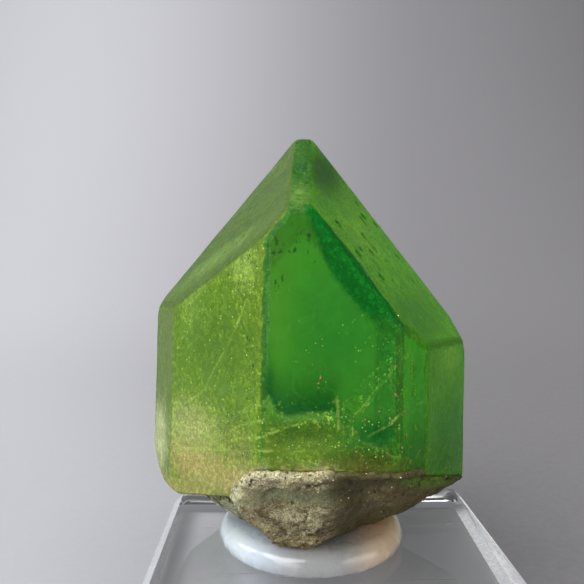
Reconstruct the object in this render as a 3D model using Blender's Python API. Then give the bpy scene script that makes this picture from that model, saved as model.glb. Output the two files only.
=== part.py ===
"""A peridot crystal on its rock foot, set in a puck of mounting putty on a clear acrylic block.

The crystal is described as a mineralogist would: the olivine cell gives the direction of each
face, and one distance from the crystal's centre gives its place. The solid is what is left of
a block once every face has cut it. Metres, +Z up; the origin is under the middle of the block.
"""

import math

import bmesh
import bpy
from mathutils import Euler, Vector, noise

MM = 0.001
GAP = 0.3 * MM

# Acrylic block: a standard 32 mm (1 1/4 inch) square display base.
BLOCK_SIDE = 32.0 * MM
BLOCK_THICKNESS = 8.0 * MM
BLOCK_CORNER_RADIUS = 1.8 * MM
BLOCK_CHAMFER = 0.9 * MM
CORNER_STEPS = 6

# Mounting putty: a puck pressed flat on the block, widest a little above its foot.
PUTTY_CENTRE = Vector((-1.7, 2.5, 0.0)) * MM
PUTTY_RADIUS = 8.4 * MM
PUTTY_HEIGHT = 2.1 * MM
PUTTY_EDGE_RADIUS = 1.2 * MM
PUTTY_FOOT_INSET = 0.3 * MM
PUTTY_DOME = 0.2 * MM
PUTTY_SIDES = 56

# Specimen: where the crystal's centre stands over the block, and how the crystal leans.
CRYSTAL_CENTRE = Vector((-1.8, 5.2, 27.9)) * MM
CRYSTAL_LEAN = Euler([math.radians(angle) for angle in (-5.0, 0.8, -3.3)])

# Olivine cell edges a, b, c in angstroms. The a axis points to -X, b to the front, c up.
CELL = (4.756, 10.207, 5.980)

# Distance of each crystal face (h, k, l) from the crystal's centre, in millimetres.
FACE_DISTANCE = {
    (0, 1, 0): 15.0,
    (0, -1, 0): 15.9,
    (1, 2, 0): 12.7,
    (-1, 2, 0): 15.1,
    (1, -2, 0): 15.6,
    (-1, -2, 0): 16.1,
    (1, 1, 0): 13.2,
    (-1, 1, 0): 13.5,
    (1, -1, 0): 13.5,
    (-1, -1, 0): 13.2,
    (1, 1, 1): 11.4,
    (-1, 1, 1): 10.2,
    (1, -1, 1): 11.9,
    (-1, -1, 1): 10.7,
    (0, 1, 1): 15.1,
    (0, -1, 1): 16.0,
}

# Small worn facets on the two shoulders: outward direction, then distance in millimetres.
SHOULDER_PLANES = [
    ((0.94, 0.02, 0.34), 13.0),
    ((-0.94, 0.0, 0.34), 14.0),
]
CLOSE_CORNERS = 0.3 * MM
EDGE_ROUND = 0.4 * MM

# The lower end, which grew against rock: three planes round the left corner, one cuts the right.
LOWER_PLANES = [
    ((-0.92, -0.05, -0.39), 18.0),
    ((-0.73, -0.10, -0.68), 19.3),
    ((-0.45, -0.20, -0.89), 18.9),
    ((0.55, 0.40, -0.80), 18.6),
]

# The crystal's underside: a slope in front and a flat behind.
UNDERSIDE_PLANES = [
    ((0.03, -0.25, -1.0), 15.55),
    ((0.02, 0.03, -1.0), 15.2),
]

# The shelf of rock that reaches up in front, into a notch in the underside.
SHELF_PLANES = [
    ((0.0, 0.24, 0.97), -13.7),
    ((-0.753, 0.264, 0.601), -7.4),
]

# Rock foot: planes that rough out the broken root under the crystal.
ROCK_PLANES = [
    ((0.014, 0.087, -1.0), 17.7),
    ((-0.523, -0.372, -0.766), 18.1),
    ((0.466, -0.518, -0.719), 17.5),
    ((-0.10, -0.78, -0.61), 17.7),
    ((-0.70, 0.30, -0.65), 17.6),
    ((0.60, 0.45, -0.66), 17.2),
    ((0.0, 0.75, -0.66), 16.6),
    ((0.0, 0.0, 1.0), -9.6),
]
ROCK_INSET = 0.15 * MM
ROCK_CELL = 0.6 * MM
LUMP_SIZE = 4.2 * MM
LUMP_HEIGHT = 0.5 * MM
GRIT_SIZE = 1.4 * MM
GRIT_HEIGHT = 0.22 * MM

# The rock's layers seen in front: height from the crystal's centre, then reach, both in mm.
ROCK_LAYERS = [
    (-10.9, 0.0),
    (-11.6, -0.05),
    (-12.5, -0.75),
    (-13.4, 0.35),
    (-14.8, 0.25),
    (-16.2, -0.2),
]


def clear_scene():
    for ob in list(bpy.data.objects):
        bpy.data.objects.remove(ob, do_unlink=True)


def material(name, colour, roughness, transmission=0.0, ior=1.5):
    mat = bpy.data.materials.new(name)
    mat.use_nodes = True
    shader = mat.node_tree.nodes["Principled BSDF"]
    shader.inputs["Base Color"].default_value = (*colour, 1.0)
    shader.inputs["Roughness"].default_value = roughness
    shader.inputs["Metallic"].default_value = 0.0
    shader.inputs["Transmission Weight"].default_value = transmission
    shader.inputs["IOR"].default_value = ior
    return mat


def add_object(name, bm, parent=None, mat=None):
    """Makes an object of a bmesh, which is freed. Without a material it is a hidden cutter."""
    mesh = bpy.data.meshes.new(name)
    bm.to_mesh(mesh)
    bm.free()
    ob = bpy.data.objects.new(name, mesh)
    ob.parent = parent
    bpy.context.scene.collection.objects.link(ob)
    if mat:
        mesh.materials.append(mat)
    else:
        ob.hide_render = True
        ob.display_type = "WIRE"
    return ob


def cut_with(ob, cutter):
    boolean = ob.modifiers.new("cut_" + cutter.name, "BOOLEAN")
    boolean.operation = "DIFFERENCE"
    boolean.object = cutter
    boolean.solver = "EXACT"


def shaped_copy(ob):
    """A bmesh of an object's shape after its modifiers, in the scene's frame."""
    bpy.context.view_layer.update()
    bm = bmesh.new()
    bm.from_object(ob, bpy.context.evaluated_depsgraph_get())
    bm.transform(ob.matrix_world)
    return bm


def push_out(bm, distance):
    """Moves every vertex along its normal, by a length or by what a function of it gives."""
    bm.normal_update()
    moves = []
    for vert in bm.verts:
        amount = distance(vert) if callable(distance) else distance
        moves.append(vert.normal * amount)
    for vert, move in zip(bm.verts, moves):
        vert.co += move


def half_spaces(rows, extra=0.0):
    """Rows of (direction, millimetres) as (unit normal, metres), moved out by extra."""
    return [(Vector(way).normalized(), reach * MM + extra) for way, reach in rows]


def cut_by(bm, planes):
    """Keeps what is inside every (outward normal, distance) plane, and closes each cut."""
    for normal, distance in planes:
        cut = bmesh.ops.bisect_plane(
            bm,
            geom=bm.verts[:] + bm.edges[:] + bm.faces[:],
            dist=1e-6,
            plane_co=normal * distance,
            plane_no=normal,
            clear_outer=True,
        )
        rim = [item for item in cut["geom_cut"] if isinstance(item, bmesh.types.BMEdge)]
        if rim:
            bmesh.ops.holes_fill(bm, edges=rim)


def block_cut_by(planes, size=80.0 * MM):
    bm = bmesh.new()
    bmesh.ops.create_cube(bm, size=size)
    cut_by(bm, planes)
    return bm


def crystal_faces(inset=0.0, prism_only=False):
    """The planes of the crystal's faces, moved in by inset."""
    a, b, c = CELL
    planes = []
    for (h, k, l), distance in FACE_DISTANCE.items():
        if l == 0 or not prism_only:
            normal = Vector((-h / a, -k / b, l / c)).normalized()
            planes.append((normal, distance * MM - inset))
    return planes


def build_crystal(specimen):
    """The single olivine crystal, its edges rounded as natural etching leaves them."""
    green = material("peridot_green", (0.16, 0.45, 0.05), 0.25, transmission=0.85, ior=1.67)
    bm = block_cut_by(crystal_faces() + half_spaces(SHOULDER_PLANES))
    bmesh.ops.remove_doubles(bm, verts=bm.verts[:], dist=CLOSE_CORNERS)
    bmesh.ops.bevel(
        bm,
        geom=bm.edges[:],
        offset=EDGE_ROUND,
        affect="EDGES",
        segments=3,
        profile=0.5,
        material=-1,
        clamp_overlap=True,
    )
    cut_by(bm, half_spaces(LOWER_PLANES) + half_spaces(UNDERSIDE_PLANES))
    crystal = add_object("crystal", bm, specimen, green)
    shelf = block_cut_by(half_spaces(SHELF_PLANES))
    cut_with(crystal, add_object("shelf_notch", shelf, specimen))
    crystal.data.shade_smooth()
    crystal.data.set_sharp_from_angle(angle=math.radians(20.0))
    return crystal


def layer_reach(height):
    """How far the rock's layers stand out at a height, eased from one layer to the next."""
    rows = [(z * MM, reach * MM) for z, reach in ROCK_LAYERS]
    if height >= rows[0][0]:
        return rows[0][1]
    for (z0, reach0), (z1, reach1) in zip(rows, rows[1:]):
        if height >= z1:
            share = (z0 - height) / (z0 - z1)
            return reach0 + (reach1 - reach0) * share * share * (3.0 - 2.0 * share)
    return 0.0


def rock_relief(vert):
    """Lumps and grit all over, and the layers on the front."""
    lump = noise.noise(vert.co / LUMP_SIZE + Vector((3.1, 7.7, 1.9)))
    grit = noise.fractal(vert.co / GRIT_SIZE, 0.8, 2.2, 3)
    sag = noise.noise(vert.co / (3.0 * LUMP_SIZE)) * 1.2 * MM
    front = max(0.0, -vert.normal.y) ** 0.5
    return lump * LUMP_HEIGHT + grit * GRIT_HEIGHT + layer_reach(vert.co.z + sag) * front


def even_net(bm, cell):
    """The same solid with an even net of faces about one cell wide."""
    ob = add_object("rough_block", bm)
    remesh = ob.modifiers.new("even_net", "REMESH")
    remesh.mode = "VOXEL"
    remesh.voxel_size = cell
    even = shaped_copy(ob)
    bpy.data.objects.remove(ob, do_unlink=True)
    return even


def build_matrix(specimen):
    """The broken rock root that the crystal grew from, cut a gap clear of the crystal."""
    rock = material("matrix_rock", (0.28, 0.25, 0.16), 0.85)
    flush = crystal_faces(ROCK_INSET, prism_only=True) + half_spaces(LOWER_PLANES, -ROCK_INSET)
    bm = even_net(block_cut_by(flush + half_spaces(ROCK_PLANES)), ROCK_CELL)
    push_out(bm, rock_relief)
    matrix = add_object("matrix", bm, specimen, rock)
    bed = block_cut_by(half_spaces(UNDERSIDE_PLANES, GAP))
    bed_cutter = add_object("crystal_bed", bed, specimen)
    shelf = block_cut_by(half_spaces(SHELF_PLANES, -GAP), size=120.0 * MM)
    cut_with(bed_cutter, add_object("shelf_left_standing", shelf, specimen))
    cut_with(matrix, bed_cutter)
    matrix.data.shade_smooth()
    return matrix


def putty_profile():
    """Half of the puck's section, from the middle of its top out and down to its foot."""
    foot = BLOCK_THICKNESS + GAP
    top = foot + PUTTY_HEIGHT
    points = [(0.0, top + PUTTY_DOME), (0.5 * PUTTY_RADIUS, top + 0.75 * PUTTY_DOME)]
    for step in range(6):
        angle = math.pi / 2 * (1.0 - step / 5)
        across = PUTTY_RADIUS + PUTTY_EDGE_RADIUS * (math.cos(angle) - 1.0)
        points.append((across, top + PUTTY_EDGE_RADIUS * (math.sin(angle) - 1.0)))
    points += [(PUTTY_RADIUS - PUTTY_FOOT_INSET, foot), (0.0, foot)]
    return points


def build_putty(matrix):
    """The puck of mounting putty, with the dent that the rock foot is pressed into."""
    putty_white = material("putty_white", (0.72, 0.74, 0.74), 0.35)
    bm = bmesh.new()
    verts = [bm.verts.new((across, 0.0, height)) for across, height in putty_profile()]
    edges = [bm.edges.new(pair) for pair in zip(verts, verts[1:])]
    bmesh.ops.spin(
        bm,
        geom=verts + edges,
        axis=(0.0, 0.0, 1.0),
        angle=math.tau,
        steps=PUTTY_SIDES,
        use_merge=True,
    )
    bmesh.ops.remove_doubles(bm, verts=bm.verts[:], dist=1e-6)
    bmesh.ops.recalc_face_normals(bm, faces=bm.faces[:])
    bmesh.ops.translate(bm, verts=bm.verts[:], vec=PUTTY_CENTRE)
    putty = add_object("mounting_putty", bm, None, putty_white)
    dent = shaped_copy(matrix)
    push_out(dent, GAP)
    cut_with(putty, add_object("rock_dent", dent))
    putty.data.shade_smooth()
    return putty


def build_base():
    """The clear acrylic block: rounded corners and a polished chamfer round both faces."""
    clear = material("clear_acrylic", (0.92, 0.94, 0.95), 0.03, transmission=1.0, ior=1.49)
    bm = bmesh.new()
    bmesh.ops.create_cube(bm, size=1.0)
    bmesh.ops.scale(bm, vec=(BLOCK_SIDE, BLOCK_SIDE, BLOCK_THICKNESS), verts=bm.verts[:])
    bmesh.ops.translate(bm, vec=(0.0, 0.0, BLOCK_THICKNESS / 2), verts=bm.verts[:])
    upright = [e for e in bm.edges if abs(e.verts[0].co.z - e.verts[1].co.z) > MM]
    bmesh.ops.bevel(
        bm,
        geom=upright,
        offset=BLOCK_CORNER_RADIUS,
        affect="EDGES",
        segments=CORNER_STEPS,
        profile=0.5,
        material=-1,
    )
    rims = [e for e in bm.edges if abs(e.verts[0].co.z - e.verts[1].co.z) < 0.1 * MM]
    bmesh.ops.bevel(
        bm,
        geom=rims,
        offset=BLOCK_CHAMFER,
        affect="EDGES",
        segments=1,
        profile=0.5,
        material=-1,
    )
    base = add_object("acrylic_base", bm, None, clear)
    base.data.shade_smooth()
    base.data.set_sharp_from_angle(angle=math.radians(20.0))
    return base


def main():
    clear_scene()
    specimen = bpy.data.objects.new("specimen", None)
    specimen.location = CRYSTAL_CENTRE
    specimen.rotation_euler = CRYSTAL_LEAN
    bpy.context.scene.collection.objects.link(specimen)
    build_crystal(specimen)
    matrix = build_matrix(specimen)
    build_putty(matrix)
    build_base()


main()
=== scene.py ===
# %% [markdown]
# # A peridot crystal on its display block
# Four things stand on one another here: a clear acrylic block, a puck of milky mounting putty, a
# foot of broken rock, and the gem crystal of peridot (olivine) that grew on the rock. The packed
# model gives their exact places, so this script loads it first and keeps it as the frame. Every
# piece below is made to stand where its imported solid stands.

# %% Load the frame and note its box
import math
import random

import bmesh
import bpy
from mathutils import Euler, Matrix, Vector, kdtree, noise


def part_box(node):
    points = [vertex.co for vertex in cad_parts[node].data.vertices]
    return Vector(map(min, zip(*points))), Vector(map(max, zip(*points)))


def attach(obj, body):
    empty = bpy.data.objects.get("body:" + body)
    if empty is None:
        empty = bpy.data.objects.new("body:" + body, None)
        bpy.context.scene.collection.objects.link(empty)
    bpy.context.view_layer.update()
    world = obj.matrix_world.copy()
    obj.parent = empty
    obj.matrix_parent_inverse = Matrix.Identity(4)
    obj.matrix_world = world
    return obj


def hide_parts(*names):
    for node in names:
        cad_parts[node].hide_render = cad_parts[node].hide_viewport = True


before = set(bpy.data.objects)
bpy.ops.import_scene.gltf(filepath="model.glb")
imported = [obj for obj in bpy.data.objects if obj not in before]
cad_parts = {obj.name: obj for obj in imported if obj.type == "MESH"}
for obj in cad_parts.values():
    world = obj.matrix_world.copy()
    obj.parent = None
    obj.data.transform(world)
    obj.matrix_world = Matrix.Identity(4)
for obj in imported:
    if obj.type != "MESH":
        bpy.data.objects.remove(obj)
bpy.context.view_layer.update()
MM = 0.001
print("nodes:", sorted(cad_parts))

# %% [markdown]
# ## The crystal's own axes
# A crystal is easiest to work on in its own axes: X across its broad front face, Y into it and Z
# along its length, all in millimetres from its centre. It leans back a few degrees on its foot,
# so one matrix turns its axes into the room's, and the inverse brings any point of a mesh back.

# %% The crystal's place and lean
CRYSTAL_CENTRE = Vector((-1.8, 5.2, 27.9)) * MM
CRYSTAL_LEAN = Euler([math.radians(angle) for angle in (-5.0, 0.8, -3.3)])
crystal_to_room = (
    Matrix.Translation(CRYSTAL_CENTRE)
    @ CRYSTAL_LEAN.to_matrix().to_4x4()
    @ Matrix.Scale(MM, 4)
)
room_to_crystal = crystal_to_room.inverted()
room_to_crystal_turn = CRYSTAL_LEAN.to_matrix().inverted()
print("crystal's top in the room, mm:", (crystal_to_room @ Vector((0, 0, 17.5))) / MM)

# %% [markdown]
# ## Which face is which
# Olivine's cell has edges of 4.756, 10.207 and 5.980 angstroms. A face (h, k, l) points along
# (h/a, k/b, l/c), so three small whole numbers name each face. A point of the surface belongs to
# the face whose direction is nearest to its own, and a point on a rounded edge belongs partly to
# both neighbours. That lets each face have its own finish with a soft change between them.

# %% Face directions and shares
CELL_EDGES = (4.756, 10.207, 5.980)
FACES = {
    "front": (0, 1, 0),
    "front_left": (1, 2, 0),
    "front_right": (-1, 2, 0),
    "left": (1, 1, 0),
    "right": (-1, 1, 0),
    "left_slope": (1, 1, 1),
    "right_slope": (-1, 1, 1),
    "brow": (0, 1, 1),
    "back": (0, -1, 0),
    "back_left": (1, -2, 0),
    "back_right": (-1, -2, 0),
    "rear_left": (1, -1, 0),
    "rear_right": (-1, -1, 0),
    "rear_left_slope": (1, -1, 1),
    "rear_right_slope": (-1, -1, 1),
    "rear_brow": (0, -1, 1),
}
face_direction = {"underside": Vector((0.0, 0.0, -1.0))}
for face, (h, k, l) in FACES.items():
    a, b, c = CELL_EDGES
    face_direction[face] = Vector((-h / a, -k / b, l / c)).normalized()
EDGE_SOFTNESS, SHARE_REACH = 0.012, 0.08


def face_shares(normal):
    """How much of each face a surface point has, as {face: share}; the shares add up to 1."""
    turned = room_to_crystal_turn @ normal
    nearness = {face: turned.dot(way) for face, way in face_direction.items()}
    best = max(nearness.values())
    parts = {}
    for face, near in nearness.items():
        if near > best - SHARE_REACH:
            parts[face] = math.exp((near - best) / EDGE_SOFTNESS)
    total = sum(parts.values())
    return {face: part / total for face, part in parts.items()}


def main_face(normal):
    """The one face whose direction is nearest to a surface point's own."""
    turned = room_to_crystal_turn @ normal
    return max(face_direction, key=lambda face: turned.dot(face_direction[face]))


between = face_direction["front"].angle(face_direction["front_left"])
print("angle between front and front left:", round(math.degrees(between), 1))

# %% [markdown]
# ## Mesh helpers
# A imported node's mesh is loose triangles, so a copy is merged first. A voxel remesh then lays an
# even net of small faces over it. The net is fine enough to carry pits, steps and chips as real
# shape, which show on the outline and bend the light inside the stone. Painting such detail only
# into a material would leave the outline and the refraction too perfect.


# %% Copy, remesh and finish a piece
def merged_copy(node):
    """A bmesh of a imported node, with its loose triangles joined."""
    bm = bmesh.new()
    bm.from_mesh(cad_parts[node].data)
    bmesh.ops.remove_doubles(bm, verts=bm.verts[:], dist=1e-6)
    return bm


def even_net(bm, cell):
    """The same solid under an even net of faces of one cell's width."""
    mesh = bpy.data.meshes.new("net")
    bm.to_mesh(mesh)
    bm.free()
    ob = bpy.data.objects.new("net", mesh)
    bpy.context.scene.collection.objects.link(ob)
    remesh = ob.modifiers.new("even_net", "REMESH")
    remesh.mode = "VOXEL"
    remesh.voxel_size = cell
    even = bmesh.new()
    even.from_object(ob, bpy.context.evaluated_depsgraph_get())
    bpy.data.objects.remove(ob, do_unlink=True)
    even.normal_update()
    return even


def move_along_normals(bm, distance):
    """Moves each vertex along its normal by what a function of it gives, in millimetres."""
    moves = [vert.normal * (distance(vert) * MM) for vert in bm.verts]
    for vert, move in zip(bm.verts, moves):
        vert.co += move
    bm.normal_update()


def finish_piece(name, bm, material):
    """Makes a smooth object of a bmesh and rides it on the one body."""
    mesh = bpy.data.meshes.new(name)
    bm.to_mesh(mesh)
    bm.free()
    mesh.materials.append(material)
    mesh.shade_smooth()
    ob = bpy.data.objects.new(name, mesh)
    bpy.context.scene.collection.objects.link(ob)
    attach(ob, "root")
    print(name, "has", sum(len(p.vertices) - 2 for p in mesh.polygons), "triangles")
    return ob


print("loose triangles in the packed crystal:", len(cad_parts["crystal"].data.polygons))

# %% [markdown]
# ## Easing and noise
# `ease` rises smoothly from 0 to 1 between two limits and is the brush for every soft border
# below. `cloud` is Blender's own noise read at a size in millimetres, from about -1 to 1.


# %% Ease, cloud and mix
def ease(x, low, high):
    t = min(1.0, max(0.0, (x - low) / (high - low)))
    return t * t * (3.0 - 2.0 * t)


def cloud(p, size, seed=0.0):
    return noise.noise(p / size + Vector((seed, 2.3 * seed, -seed)))


def mixed(first, second, share):
    return tuple(a + (b - a) * share for a, b in zip(first, second))


print("ease from 0 to 1 at its middle:", ease(0.5, 0.0, 1.0))

# %% [markdown]
# ## The crystal's surface
# Natural peridot faces aren't flat mirrors. They have low growth hills, fine lines along the
# crystal's length, horizontal steps on the narrow brow face, and pits where acid water etched
# them. Most pits lie on the front left face and on the two slopes. Each is a small dent here,
# made by pushing in the vertices near its middle.

# %% Net over the crystal
CRYSTAL_CELL = 0.21 * MM
crystal_bm = even_net(merged_copy("crystal"), CRYSTAL_CELL)
print("crystal net:", len(crystal_bm.verts), "vertices")

# %% [markdown]
# Hills and lines are noise at two sizes; the lines come from noise stretched along Z. The brow's
# steps are a saw-tooth of the height, and a rough scar crosses it near the top.

# %% Growth hills, lines and steps
HILL_SIZE, HILL_HEIGHT = 3.2, 0.035
LINE_SIZE, LINE_HEIGHT = 0.55, 0.012
BROW_STEP, BROW_STEP_DEPTH = 1.15, 0.13
BROW_SCAR_HEIGHT, BROW_SCAR_WIDTH, BROW_SCAR_DEPTH = 13.2, 0.8, 0.28
LINE_STRETCH = 14.0


def crystal_relief(vert):
    """How far a point of the crystal moves along its own direction, in millimetres."""
    p = room_to_crystal @ vert.co
    shares = face_shares(vert.normal)
    push = cloud(p, HILL_SIZE) * HILL_HEIGHT
    upright = sum(shares.get(f, 0.0) for f in ("front_left", "left", "front_right", "right"))
    stretched = Vector((p.x, p.y, p.z / LINE_STRETCH))
    push += upright * cloud(stretched, LINE_SIZE, 5.0) * LINE_HEIGHT
    brow = shares.get("brow", 0.0)
    if brow:
        along = p.z / BROW_STEP + 0.5 * cloud(p, 0.9, 2.0)
        push -= brow * (along - math.floor(along)) * BROW_STEP_DEPTH
        scar = math.exp(-(((p.z - BROW_SCAR_HEIGHT) / BROW_SCAR_WIDTH) ** 2))
        push -= brow * scar * (0.6 + cloud(p, 0.5, 9.0)) * BROW_SCAR_DEPTH
    return push


move_along_normals(crystal_bm, crystal_relief)
print("steps on the brow face are", BROW_STEP_DEPTH, "mm deep")

# %% [markdown]
# A pit is a place, a radius and a depth. The random choice has a fixed seed, so each run digs
# the same pits. A place that misses its face by more than PIT_MISS is left out. `kdtree` finds the
# vertices near a pit quickly. A pit has a flat floor and a soft rim, both as shares of its radius.

# %% Etch pits and chips
# face, count, middle (x, z), spread (x, z), radius range, depth range
PIT_FIELDS = [
    ("front", 10, (0.6, 2.0), (3.0, 4.5), (0.22, 0.34), (0.01, 0.03)),
    ("front_left", 40, (-4.9, 4.8), (1.3, 1.7), (0.20, 0.30), (0.03, 0.07)),
    ("front_left", 50, (-7.5, -2.0), (2.4, 4.0), (0.20, 0.32), (0.02, 0.05)),
    ("right_slope", 26, (6.0, 7.4), (2.4, 3.0), (0.15, 0.32), (0.05, 0.12)),
    ("left_slope", 60, (-6.5, 8.0), (3.0, 3.6), (0.12, 0.25), (0.03, 0.09)),
    ("front_right", 8, (7.8, -4.5), (0.6, 2.6), (0.20, 0.35), (0.03, 0.08)),
    ("brow", 14, (-0.8, 12.6), (0.5, 2.0), (0.12, 0.26), (0.06, 0.16)),
]
PIT_MISS, PIT_FLOOR, PIT_RIM = 0.4, 0.15, 1.5
dice = random.Random(12)


def tree_of(bm):
    """The vertices of a bmesh, ready to be searched by place."""
    tree = kdtree.KDTree(len(bm.verts))
    for i, vert in enumerate(bm.verts):
        tree.insert(vert.co, i)
    tree.balance()
    return tree


def points_by_face(bm):
    """The vertices of each face, for choosing places on it."""
    found = {}
    for i, vert in enumerate(bm.verts):
        found.setdefault(main_face(vert.normal), []).append(i)
    return found


crystal_bm.verts.ensure_lookup_table()
crystal_tree = tree_of(crystal_bm)
on_face = points_by_face(crystal_bm)
pit_depth = [0.0] * len(crystal_bm.verts)
pit_count = 0
for face, count, middle, spread, radii, depths in PIT_FIELDS:
    places = [(i, room_to_crystal @ crystal_bm.verts[i].co) for i in on_face[face]]
    for _ in range(count):
        x, z = dice.gauss(middle[0], spread[0]), dice.gauss(middle[1], spread[1])
        i, p = min(places, key=lambda item: (item[1].x - x) ** 2 + (item[1].z - z) ** 2)
        if abs(p.x - x) + abs(p.z - z) > PIT_MISS:
            continue
        radius, depth = dice.uniform(*radii), dice.uniform(*depths)
        pit_count += 1
        for _, near, gap in crystal_tree.find_range(crystal_bm.verts[i].co, radius * 1.6 * MM):
            dent = depth * (1.0 - ease(gap / MM, PIT_FLOOR * radius, PIT_RIM * radius))
            pit_depth[near] = max(pit_depth[near], dent)
for vert, depth in zip(crystal_bm.verts, pit_depth):
    vert.co -= vert.normal * (depth * MM)
crystal_bm.normal_update()
print("pits dug:", pit_count)

# %% [markdown]
# ## Painting the crystal
# The real stone isn't one green. The clear front face is grass green with a band of deep emerald
# by the right slope, where light runs round inside the stone before it comes out. The left faces
# are etched and look paler, and the bottom left is milky. One body of glass needs one material,
# so these changes are painted on the mesh as attributes, which the material then reads:
#
# - `gem`, the green that tints what passes through the surface,
# - `polish`, the roughness of the surface,
# - `frost`, the pale colour of the etched skin, `cover`, how thickly it lies, `glint`, how many
#   bright grains sparkle in it, and `lined`, how clear its growth lines are,
# - `pitted`, where small dark pits are dense, and `pit_share`, the shape of the large ones,
# - `below_crest`, the depth below the milky stone's upper edge, and `vein_gap`, the distance from
#   the nearest pale vein. The material adds noise to both, so that their borders come out ragged
#   and finer than the net.

# %% Colours and the finish of each face
def paint(red, green, blue):
    """A colour in screen values from 0 to 255, as the linear light that materials mix."""
    return tuple(((v / 255 + 0.055) / 1.055) ** 2.4 if v > 10 else v / 255 / 12.92
                 for v in (red, green, blue))


# face: gem colour, roughness, frost colour, cover
FACE_FINISH = {
    "front": ((116, 236, 76), 0.07, (70, 140, 42), 0.17),
    "front_left": ((150, 212, 80), 0.24, (112, 148, 42), 0.56),
    "left": ((140, 186, 94), 0.32, (106, 130, 60), 0.62),
    "left_slope": ((120, 178, 76), 0.34, (86, 112, 46), 0.62),
    "brow": ((70, 170, 44), 0.22, (50, 108, 26), 0.55),
    "right_slope": ((130, 240, 60), 0.22, (106, 190, 46), 0.52),
    "front_right": ((106, 246, 66), 0.15, (78, 176, 40), 0.38),
    "right": ((130, 240, 50), 0.24, (98, 182, 24), 0.54),
    "underside": ((150, 172, 84), 0.5, (120, 130, 66), 0.6),
}
REAR_FINISH = ((142, 228, 104), 0.34, (98, 158, 66), 0.24)
# face: its share of bright grains, and of growth lines
GLINTS = {"front": 0.9, "front_left": 1.0, "left": 0.6, "left_slope": 0.6, "front_right": 0.6}
LINED = {"front": 0.0, "front_left": 0.1, "left": 0.3, "right": 0.3}
print("front face in linear light:", [round(v, 3) for v in paint(*FACE_FINISH["front"][0])])

# %% [markdown]
# Washes lay a second colour over part of a face, as a painter would. Each is an oval that fades
# to nothing at its rim. A wash may change the gem colour, the frost or both.

# %% Washes of colour
# face, middle (x, z), half size (x, z), turn in degrees, gem, frost, cover
WASHES = [
    ("front", (2.2, 0.2), (3.2, 4.4), 0, (78, 214, 84), None, None),
    ("front", (6.2, -2.0), (1.3, 3.4), 0, (44, 196, 76), None, None),
    ("front", (-2.6, 2.0), (1.3, 6.0), 0, (140, 232, 84), None, None),
    ("front", (-2.8, -8.9), (2.6, 2.0), 0, (138, 180, 46), (92, 116, 30), 0.40),
    ("front", (0.0, -7.6), (3.2, 0.9), 0, (96, 156, 36), (64, 100, 22), 0.5),
    ("front", (0.4, -9.2), (2.8, 1.1), 0, (156, 200, 66), (124, 152, 52), 0.46),
    ("front", (-3.5, -8.8), (0.9, 2.2), 0, (170, 200, 80), (122, 146, 60), 0.54),
    ("front", (5.0, -9.7), (3.8, 1.3), 0, (70, 120, 30), (50, 76, 16), 0.72),
    ("front", (5.4, -7.4), (2.3, 1.1), 12, (16, 170, 60), (12, 96, 30), 0.5),
    ("front", (5.0, -4.6), (1.2, 2.2), 30, (92, 214, 78), (66, 138, 48), 0.22),
    ("front_left", (-5.0, 4.5), (1.1, 1.9), 0, None, (144, 176, 80), 0.72),
    ("front_left", (-9.5, 0.5), (1.3, 2.6), 0, None, (132, 168, 72), 0.62),
    ("front_left", (-7.2, -1.6), (3.0, 3.4), 0, (142, 200, 70), (98, 136, 42), 0.46),
    ("front_left", (-5.6, -7.6), (1.0, 1.2), 0, (90, 196, 50), (70, 118, 30), 0.35),
    ("front_left", (-9.8, -9.0), (3.4, 2.6), 0, (196, 212, 130), (160, 168, 106), 0.78),
    ("front_left", (-5.2, -9.6), (1.6, 2.4), 0, (180, 200, 100), (132, 146, 72), 0.60),
    ("front_left", (-7.0, -12.1), (6.0, 1.9), -6, (200, 190, 140), (172, 152, 104), 0.88),
    ("left", (-13.6, -10.8), (1.4, 3.2), 0, (200, 210, 156), (184, 192, 146), 0.88),
    ("left_slope", (-8.4, 5.2), (5.4, 0.8), 31, None, (106, 138, 64), 0.68),
    ("left_slope", (-7.6, 10.6), (6.2, 1.1), 47, None, (88, 116, 58), 0.66),
    ("right_slope", (1.0, 13.6), (1.9, 3.2), 0, (76, 176, 40), (46, 104, 18), 0.56),
    ("right_slope", (4.6, 7.4), (1.7, 2.8), 30, (140, 240, 80), (122, 196, 62), 0.60),
    ("right_slope", (8.6, 0.8), (3.0, 2.2), 0, (112, 220, 54), (84, 160, 36), 0.46),
    ("right", (12.3, -2.3), (1.8, 2.0), 0, (150, 240, 90), (134, 214, 64), 0.66),
    ("right", (12.0, -10.0), (3.2, 4.2), 0, (84, 214, 40), (52, 134, 6), 0.54),
    ("front_right", (8.2, -5.8), (0.8, 4.6), 0, (58, 196, 72), None, None),
    ("front_right", (8.4, -9.6), (2.6, 2.6), 0, (78, 176, 48), (46, 104, 26), 0.42),
    ("brow", (-0.8, 9.9), (1.0, 1.4), 0, None, (98, 146, 56), 0.5),
    ("brow", (-0.9, 13.3), (1.4, 0.4), 0, (44, 156, 44), (30, 96, 32), 0.7),
]
washes_of = {}
for face, middle, half, turn, gem, frost, cover in WASHES:
    colours = [paint(*colour) if colour else None for colour in (gem, frost)]
    washes_of.setdefault(face, []).append((middle, half, turn, *colours, cover))
print("washes:", len(WASHES))

# %% [markdown]
# Two brushes lay the washes and the borders of larger marks: a soft oval, and a bent line that
# gives a height for every place along it.

# %% Brushes
def blot(p, middle, half, turn):
    """A soft oval patch: 1 at its middle, fading outwards."""
    x, z = p.x - middle[0], p.z - middle[1]
    cos, sin = math.cos(math.radians(turn)), math.sin(math.radians(turn))
    along, across = (x * cos + z * sin) / half[0], (z * cos - x * sin) / half[1]
    return math.exp(-((along * along + across * across) ** 1.5))


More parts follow.
